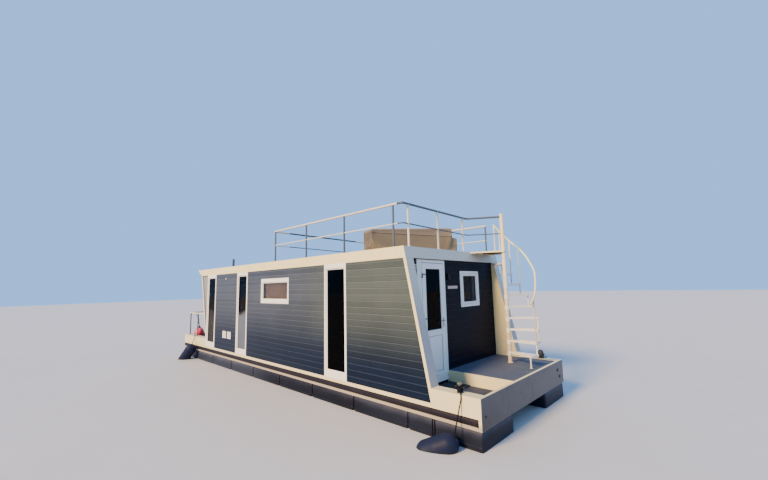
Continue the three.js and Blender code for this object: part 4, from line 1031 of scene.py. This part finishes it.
def pan(outline, top, deep, wall):
    """A folded sheet tray, open below: an outline, its top, and a rim turned down round it."""
    middle = Vector((sum(x for x, y in outline), sum(y for x, y in outline))) / len(outline)
    inner = []
    n = len(outline)
    for i in range(n):
        before, here, after = (Vector(outline[(i + d) % n]) for d in (-1, 0, 1))
        one, two = (Vector((-edge.y, edge.x)).normalized() for edge in (here - before, after - here))
        way = (one + two).normalized()
        way = way * wall / max(0.4, way.dot(one))
        if (middle - here).dot(way) < 0:
            way = -way
        inner.append(tuple(here + way))
    levels = ((outline, top), (outline, top - deep), (inner, top - deep), (inner, top - wall))
    return loft([[(x, y, z) for x, y in ring] for ring, z in levels])


def upright_rod(angle, foot, lift, head, flange, sides=12):
    """A rod of the stair from a foot to a head, with its flange."""
    ends = [round_pole(angle, ROD_RADIUS, z) for z in (foot + lift, head)]
    collar = [(flange, 0.0003), (flange, 0.004), (0.016, 0.006), (ROD_THICK, 0.009)]
    return [tube(ends, ROD_THICK, sides), turned(collar, round_pole(angle, ROD_RADIUS, foot), sides=18)]


solids = []
for k, (angle, top) in enumerate(TREADS):
    solids.append(pan([tuple(round_pole(angle + a, r).xy) for a, r in TREAD_OUTLINE], top, 0.036, 0.004))
    for a, r0, r1 in GRIPS:
        solids.append(tube([round_pole(angle + a, r, top) for r in (r0, r1)], 0.0035, 8))
    solids.append(turned(SLEEVE, (*POLE, top), sides=28))
    foot = TREADS[k - 1][1] if k else PLATFORM_TOP + 0.0003
    solids += upright_rod(angle - (10 if k else 12), foot, 0.0, top - 0.006, 0.03, 14)
piece("stair_tread_pans", solids, [tread_paint], "stair_treads", soften=0.0012)

# Rust under the landing, dark enough to stand in for the painted shade beneath it as well.
rusty_shaded_underside = Finish("bare_underside").mottle((0.055, 0.032, 0.022), (0.13, 0.085, 0.06), 5.0, 6, 0.7)
rusty_shaded_underside.uneven(0.7, 0.9).pitted(0.001)
landing = [(brow + 0.001, 0.507), (5.31, 0.785), (5.323, 0.83), (5.32, 0.897), (4.99, 1.405), (4.965, 1.417),
           (brow + 0.001, 1.417)]
under = [(brow + 0.008, 0.53), (5.3, 0.795), (5.315, 0.895), (4.985, 1.398), (brow + 0.008, 1.408)]
solids = [pan(landing, ROOF_TOP, 0.032, 0.005)]
for y in (0.78, 1.08):
    solids.append((*block(brow + 0.006, 4.99, y, y + 0.006, ROOF_TOP - 0.03, ROOF_TOP - 0.004), 1))
solids.append((*prism("Z", under, ROOF_TOP - 0.0065, ROOF_TOP - 0.005), 1))
piece("stair_landing_pan", solids, [stair_cream, rusty_shaded_underside], "stair_landing", soften=0.001)


def smooth_through(points, steps=7):
    """A flowing line through the points."""
    points = [Vector(p) for p in points]
    line = []
    for i in range(len(points) - 1):
        a, b, c, d = (points[max(0, min(len(points) - 1, i + k))] for k in (-1, 0, 1, 2))
        for s in range(steps):
            t = s / steps
            line.append(0.5 * (2 * b + (c - a) * t + (2 * a - 5 * b + 4 * c - d) * t * t
                               + (3 * b - a - 3 * c + d) * t ** 3))
    return line + [points[-1]]


def rail_height(angle):
    for (a0, z0), (a1, z1) in zip(HANDRAIL, HANDRAIL[1:]):
        if a0 <= angle <= a1:
            return z0 + (z1 - z0) * (angle - a0) / (a1 - a0)


rail = smooth_through([round_pole(a, ROD_RADIUS, z) for a, z in HANDRAIL])
solids = [tube(rail, RAIL_THICK, 14)]
for spot, outwards in ((rail[0], rail[0] - rail[1]), (rail[-1], rail[-1] - rail[-2])):
    solids.append(turned([(RAIL_THICK, -0.006), (0.0195, 0.0), (0.015, 0.008), (0.0, 0.011)], spot, outwards))
posts = [(TREADS[k][0] - 10, TREADS[k][1]) for k in (1, 6, 7)] + [(122, ROOF_TOP), (133, ROOF_TOP)]
for angle, foot in posts:
    solids += upright_rod(angle, foot, 0.0003, rail_height(angle), 0.028)
piece("stair_rail_tube", solids, [stair_cream], "stair_handrail")


# Terrace railing
# Welded tube with a thin middle rail. It drops a little towards port and ends on the stair pole. The
# side posts and front rails are grey, and the side rails and front posts are painted cream.
RAIL_Y, RAIL_REAR, RAIL_FRONT, RAIL_PORT = 1.65, 0.2, 4.62, 4.49
TOP_RAIL, MID_RAIL, RAIL_DROP, RAIL_BEND = 4.2, 3.836, 0.02, 0.07
SIDE_POSTS = (0.262, 1.653, 3.018)
GREY, CREAM = 0, 1
dull_steel = Finish("dull_grey_tube", "rail_steel", Metallic=0.25, Specular_IOR_Level=0.5)
dull_steel.mottle((0.06, 0.075, 0.085), (0.1, 0.118, 0.125), 9, 4, 0.6)
dull_steel.tint(((60, 3), 0.66, 0.8, 0, 0.6), (0.26, 0.24, 0.21))
dull_steel.uneven(0.38, 0.55)
rail_cream = painted("rail_cream", "cream_paint", (0.7, 0.63, 0.46), (0.32, 0.27, 0.18))


def on_rail(x, y, level):
    return (x, y, level - (y + SIDE) * RAIL_DROP)


def post_on(x, y, foot, top, finish):
    """A tube post with its welded base plate and four bolts."""
    plate = mm(44, 0.3, 44, 5, 42, 6, 25, 6, 19, 12)
    bolt = mm(6, 5, 6, 10, 0, 11.2)
    solids = [tube([(x, y, foot + 0.0003), (x, y, top)], RAIL_THICK, 16), turned(plate, (x, y, foot))]
    solids += [turned(bolt, (*spot, foot), sides=6) for spot in ring_of(4, (x, y), 0.034, pi / 4)]
    return [(*solid, finish) for solid in solids]


solids = []
corner = RAIL_FRONT - 0.12
for level, radius in ((TOP_RAIL, 0.021), (MID_RAIL, 0.012)):
    for finish, *spots in (
        (CREAM, (RAIL_PORT, RAIL_Y), (RAIL_REAR, RAIL_Y), (RAIL_REAR, 1.2)),
        (GREY, (RAIL_REAR, 1.2), (RAIL_REAR, -1.2)),
        (CREAM, (RAIL_REAR, -1.2), (RAIL_REAR, -RAIL_Y), (corner, -RAIL_Y)),
        (GREY, (corner, -RAIL_Y), (RAIL_FRONT, -RAIL_Y), (RAIL_FRONT, 0.5), (5.2435, 0.828)),
    ):
        solids.append((*tube([on_rail(x, y, level) for x, y in spots], radius, 14, RAIL_BEND), finish))
    cap = [(radius, -0.01), (radius, 0.002), (radius - 0.005, 0.006), (0.0, 0.008)]
    solids.append((*turned(cap, on_rail(RAIL_PORT, RAIL_Y, level), (1, 0, 0)), CREAM))
posts = [(x, -RAIL_Y, GREY) for x in (*SIDE_POSTS, 4.393)] + [(x, RAIL_Y, GREY) for x in (*SIDE_POSTS, 4.471)]
posts += [(RAIL_FRONT, y, CREAM) for y in (-1.5, -0.59, 0.34)]
for x, y, finish in posts:
    solids += post_on(x, y, ROOF_TOP + 0.0025, on_rail(x, y, TOP_RAIL)[2], finish)
piece("terrace_rail_tubes", solids, [dull_steel, rail_cream], "terrace_railing")


# Rear deck railing
# The same tube round the rear deck, bent at the corners. It is welded to a plate on each fin and stands
# on four grey posts with bolted feet.
REAR_RAIL, REAR_RAIL_X = 1.906, -5.9
reach = rear_edge(1.927) - 0.0003
corners = ((reach, -RIM_MIDDLE), (REAR_RAIL_X, -RIM_MIDDLE), (REAR_RAIL_X, RIM_MIDDLE), (reach, RIM_MIDDLE))
solids = [(*tube([(x, y, REAR_RAIL) for x, y in corners], 0.021, 14, RAIL_BEND), CREAM)]
for y in (-RIM_MIDDLE, RIM_MIDDLE):
    for x in (-5.788, -5.07):
        solids += post_on(x, y, RIM_TOP, REAR_RAIL, GREY)
    solids.append((*turned(mm(40, 2, 40, 8, 24, 10),
                           (rear_edge(REAR_RAIL), y, REAR_RAIL), (-1, 0, 0.27)), CREAM))
piece("rear_rail_tubes", solids, [dull_steel, rail_cream], "rear_railing")


# Furniture cover
# A fitted cover of coated taupe polyester over a long seat and its back, which rises to port. It is sewn
# from flat panels, a little loose, so it dips between the edges and creases near the hem.
COVER_CORNER, COVER_TURN = (3.257, -1.094), radians(-19)
COVER_DEEP, COVER_LONG, SEAT_FROM, SEAT_HIGH = 0.45, 2.317, 2.167, 0.455
BACK_LOW, BACK_HIGH = 0.56, 0.692
SIDE_ROWS, DRAPE_FRAMES = 15, 30
cloth = Finish("cover_cloth", Sheen_Weight=0.25, Sheen_Roughness=0.5, Specular_IOR_Level=0.3)
weave = cloth.times(cloth.grain(1.0, 1, 0.5, (650, 650, 60)), cloth.grain(1.0, 1, 0.5, (60, 60, 650)))
cloth.mottle((0.16, 0.122, 0.062), (0.235, 0.182, 0.096), 1.7, 5, 0.65)
cloth.tint((weave, 0.15, 0.35, 0.0, 0.35), (0.3, 0.23, 0.15))
damp = cloth.share(cloth.plus(cloth.z, cloth.times(cloth.pattern, 0.1)), 3.56, 3.47)
cloth.tint(cloth.times(damp, 0.4), (0.1, 0.075, 0.055))
cloth.tint((cloth.z, 3.868, 3.88, 0.0, 0.35), (0.34, 0.24, 0.17))
# Painted shade: faces turned to -Y, the cover's end panel, are darker, standing in for shade on that end.
cloth.tint((cloth.facing("Y"), -0.75, -0.9, 0.0, 0.55), (0.045, 0.034, 0.024))
seam = cloth.share(cloth.sum("ABSOLUTE", cloth.sum("SUBTRACT", cloth.z, 3.871)), 0.011, 0.006)
cloth.tint(cloth.times(seam, 0.75), (0.04, 0.03, 0.026))
cloth.uneven(0.68, 0.88)
cloth.bump(seam, 0.004)
cloth.bump(weave, 0.001)
cloth.pitted(0.006, 14, 4, 0.6)


def cover_place(x, y, z):
    """From the furniture's own corner to the boat: turned a little on the roof."""
    c, s = cos(COVER_TURN), sin(COVER_TURN)
    return Vector((COVER_CORNER[0] + x * c - y * s, COVER_CORNER[1] + x * s + y * c, ROOF_TOP + 0.0005 + z))


def cover_skin(step, shrink, hem, loose):
    """The cover as one open skin: a grid over the top, and its sides down to the hem."""
    seat = SEAT_FROM - shrink
    xs0, xs1, ys0, ys1 = -COVER_DEEP + shrink, -shrink, shrink, COVER_LONG - shrink
    nx, ny = round((xs1 - xs0) / step), round((ys1 - ys0) / step)
    xs = [xs0 + (xs1 - xs0) * i / nx for i in range(nx + 1)]
    ys = [ys0 + (ys1 - ys0) * j / ny for j in range(ny + 1)]
    step_at = min(range(len(ys)), key=lambda j: abs(ys[j] - seat))
    ys[step_at] = seat

    def height(y):
        back = BACK_LOW + (BACK_HIGH - BACK_LOW) * (y - 0.01) / 2.157
        return (SEAT_HIGH if y > seat else back) - shrink

    top = []
    for j, y in enumerate(ys):
        top.append([(x, y, height(y) + loose) for x in xs])
        if j == step_at:
            drop = height(y) - (SEAT_HIGH - shrink)
            n = max(2, round(drop / step))
            for k in range(1, n + 1):
                top.append([(x, y + 0.001 * k, height(y) + loose - drop * k / n) for x in xs])

    def fall(row, k):
        return [(x, y, hem + (z - hem) * k / SIDE_ROWS) for x, y, z in row]

    front = [(None, fall(top[0], k), None) for k in range(SIDE_ROWS)]
    rear = [(None, fall(top[-1], SIDE_ROWS - k), None) for k in range(1, SIDE_ROWS + 1)]
    middle = []
    for row in top:
        left = [fall(row[:1], k)[0] for k in range(SIDE_ROWS)]
        right = [fall(row[-1:], SIDE_ROWS - k)[0] for k in range(1, SIDE_ROWS + 1)]
        middle.append((left, row, right))
    shape = bmesh.new()
    known = {}

    def spot(p):
        tag = tuple(round(c, 4) for c in p)
        if tag not in known:
            known[tag] = shape.verts.new(cover_place(*p))
        return known[tag]

    grid = front + middle + rear
    for (left_a, row_a, right_a), (left_b, row_b, right_b) in zip(grid, grid[1:]):
        one, two = row_a, row_b
        if left_a and left_b:
            one, two = left_a + row_a + right_a, left_b + row_b + right_b
        for i in range(len(one) - 1):
            corners = []
            for p in (one[i], one[i + 1], two[i + 1], two[i]):
                v = spot(p)
                if v not in corners:
                    corners.append(v)
            if len(corners) > 2 and not shape.faces.get(corners):
                shape.faces.new(corners)
    bmesh.ops.recalc_face_normals(shape, faces=shape.faces)
    return shape


cover = mesh_object("cover_cloth", cover_skin(0.035, 0.006, 0.012, 0.01), [cloth])
form = mesh_object("furniture_form", cover_skin(0.07, 0.03, 0.004, 0.0), [])
form.modifiers.new("collision", "COLLISION")
form.collision.thickness_outer = 0.004
hem = cover.vertex_groups.new(name="hem")
hem.add([v.index for v in cover.data.vertices if v.co.z < ROOF_TOP + 0.016], 1.0, "REPLACE")
drape = cover.modifiers.new("drape", "CLOTH")
canvas = dict(
    quality=6, mass=0.35, tension_stiffness=40, compression_stiffness=25, bending_stiffness=0.6,
)
for setting, value in canvas.items():
    setattr(drape.settings, setting, value)
drape.settings.vertex_group_mass = "hem"
drape.collision_settings.distance_min = 0.004
bpy.context.scene.frame_end = DRAPE_FRAMES
for number in range(1, DRAPE_FRAMES + 1):
    bpy.context.scene.frame_set(number)
bpy.context.view_layer.objects.active = cover
bpy.ops.object.modifier_apply(modifier="drape")
bpy.data.objects.remove(form)
thick = cover.modifiers.new("cloth thickness", "SOLIDIFY")
thick.thickness = 0.002
fine = cover.modifiers.new("smooth drape", "SUBSURF")
fine.levels = fine.render_levels = 1
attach(cover, "hull")
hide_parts("furniture_cover")


# Vent pipe and wall fittings
# A grey pipe in a welded collar on the roof. On the starboard boards there are two louvred vents and a
# small round lamp.
VENT_WIDE, VENT_LOW, VENT_HIGH, LOUVRE_PITCH = 0.24, 1.27, 1.47, 0.0201
profile = mm(
    62, 2.8, 62, 8, 45, 16, 40, 26, 37, 30, 37, 268, 38.5, 270, 38.5, 272.2, 33, 272.2, 33, 200, 0, 200,
)
piece("vent_pipe", [turned(profile, (-2.8, -1.4, ROOF_TOP))], [dull_steel], "roof_vent")
on_starboard = on_side(-1, SIDE - 0.0025)
ring = mm(0, 0, 0, 8, 3, 11, 16, 11, 20, 6, 20, 0)
for number, x0 in enumerate((-2.7, -2.37)):
    x1 = x0 + VENT_WIDE
    solids = [mitred(on_starboard, x0, x1, VENT_LOW, VENT_HIGH, ring)]
    inside = (x0 + 0.01, x1 - 0.01, VENT_LOW + 0.01, VENT_HIGH - 0.01)
    solids.append((*plank(on_starboard, *inside, 0.0, 0.001), 1))
    for k in range(8):
        z = VENT_LOW + 0.022 + LOUVRE_PITCH * k
        blade = [(0.0015, z + 0.012), (0.003, z + 0.014), (0.01, z + 0.002), (0.0085, z)]
        solids.append(loft([[on_starboard(x, b, o) for o, b in blade] for x in (x0 + 0.019, x1 - 0.019)]))
    piece("wall_vent_%d" % number, solids, [white, rubber], soften=0.0006)
lamp_glass = Finish("lamp_glass", Roughness=0.3).mottle((0.45, 0.45, 0.42), (0.62, 0.61, 0.56), 50)
base = mm(36, 0, 36, 6, 30, 10)
dome = mm(27, 8, 26, 18, 19, 26, 8, 30, 0, 30.5)
lamp_parts = [turned(part, (-2.555, -1.7075, 3.05), (0, -1, 0)) for part in (base, dome)]
piece("side_lamp", [lamp_parts[0], (*lamp_parts[1], 1)], [bright, lamp_glass])


# Fenders
# Blown vinyl cylinders with a moulded rope eye in each end. Each hangs on a dark laid rope that runs
# over the rim and round a bollard or cleat.
FENDERS = [
    ("front", (5.26, -2.026, 0.341), (5.553, -1.906, 0.475), (5.645, -1.872, 0.575),
     0.159, 5.69, BOLLARD_X, 0.028),
    ("rear", (-5.151, -2.027, 0.33), (-4.801, -1.9, 0.748), (-4.79, -1.885, 0.85),
     0.165, -5.0, -5.325, 0.012),
]
LINE_LEVEL, RIM_EDGE = RIM_TOP + 0.0108, 1.722
vinyl = Finish("fender_vinyl", Specular_IOR_Level=0.12)
vinyl.mottle((0.006, 0.009, 0.028), (0.012, 0.018, 0.046), 2.0, 4)
chafe = vinyl.share((4.0, 6, 0.7, (1, 1, 3)), 0.56, 0.76)
vinyl.tint(vinyl.times(chafe, 0.25), (0.035, 0.04, 0.065))
damp = vinyl.share(vinyl.plus(vinyl.z, vinyl.times(vinyl.grain(9.0), 0.06)), 0.47, 0.43)
vinyl.tint(damp, (0.012, 0.016, 0.02))
vinyl.rough(vinyl.share(vinyl.sum("SUBTRACT", chafe, damp), -0.6, 0.8, 0.42, 0.72))
vinyl.pitted(0.0007, 70, 3)

for name, low, high, tie, radius, rim_x, stem_x, stem in FENDERS:
    for side, sign in SIDES:
        a, b, knot = (Vector((x, -y * sign, z)) for x, y, z in (low, high, tie))
        half = (b - a).length / 2
        way = (b - a).normalized()
        arc = [radians(10 * k) for k in range(10)]
        body = [(radius * sin(t), -half - radius * cos(t)) for t in arc]
        body += [(radius, -0.012), (radius + 0.002, 0.0), (radius, 0.012)]
        body += [(radius * sin(t), half + radius * cos(t)) for t in reversed(arc)]
        boss = [(0.05, radius - 0.014), (0.04, radius), (0.022, radius + 0.01), (0.0, radius + 0.013)]
        solids = [turned(body, (a + b) / 2, way, 36), turned(boss, a, -way, 20), turned(boss, b, way, 20)]
        piece(name + "_fender_body_" + side, solids, [vinyl], name + "_fender_" + side)
        edge = Vector((rim_x, RIM_EDGE * sign, LINE_LEVEL))
        stand = Vector((stem_x, RIM_MIDDLE * sign, LINE_LEVEL))
        end = stand + (edge - stand).normalized() * (stem + 0.004)
        over_edge = Vector((rim_x, (RIM_EDGE + 0.0005) * sign, RIM_TOP - 0.05))
        hanging = smooth_through([b + way * (radius + 0.004), knot, over_edge], 6)[:-1]
        solids = [tube(hanging + rounded([over_edge, edge + Vector((0, 0, 0.002)), end], 0.02), 0.009, 10)]
        for turns in (0, 1):
            ring = [knot + Vector((0.013 * cos(t), 0.013 * sin(t), 0.02 * turns + 0.008 * sin(t)))
                    for t in [2 * pi * k / 16 for k in range(17)]]
            solids.append(tube(ring, 0.008, 8))
        piece(name + "_fender_line_" + side, solids, [dark_rope], name + "_fender_" + side)


# Ball buoy
# A red blown buoy with a ribbed blue eye, hung by a doubled line from the end rail inside the rear
# bulwark.
BUOY, EYE_TOP, RAIL_UNDER = (-5.78, -1.3), 1.392, REAR_RAIL - 0.021 - 0.0105
buoy_red = Finish("buoy_red", Specular_IOR_Level=0.5)
buoy_red.mottle((0.72, 0.04, 0.075), (0.84, 0.08, 0.125), 5.0, 4)
chafe = buoy_red.share((9.0, 6, 0.7), 0.55, 0.75)
buoy_red.tint(buoy_red.times(chafe, 0.4), (0.8, 0.3, 0.32))
buoy_red.rough(buoy_red.share(chafe, 0.0, 1.0, 0.38, 0.66))
buoy_red.pitted(0.0006, 80, 2)
profile = mm(
    0, 972, 30, 974, 70, 983, 100, 1000, 125, 1025, 144, 1056, 157, 1095, 164.5, 1140, 163, 1180,
    153, 1220, 136, 1255, 112, 1288, 85, 1316, 60, 1336,
)
eye = mm(60, 1336, 50, 1345, 36, 1352, 34, 1362, 30, 1366, 30, 1374, 26, 1380, 26, 1400, 18, 1407, 0, 1408)
solids = [turned(profile, (*BUOY, 0), sides=36), (*turned(eye, (*BUOY, 0)), 1)]
piece("ball_buoy_body", solids, [buoy_red, vinyl], "ball_buoy")
solids = [tube([(REAR_RAIL_X, y, RAIL_UNDER) for y in (-1.405, -1.305)], 0.01, 12)]
for y in (-1.385, -1.325):
    solids.append(tube([(REAR_RAIL_X, y, RAIL_UNDER), (*BUOY, EYE_TOP)], 0.007, 8))
piece("ball_buoy_line", solids, [dark_rope], "ball_buoy")
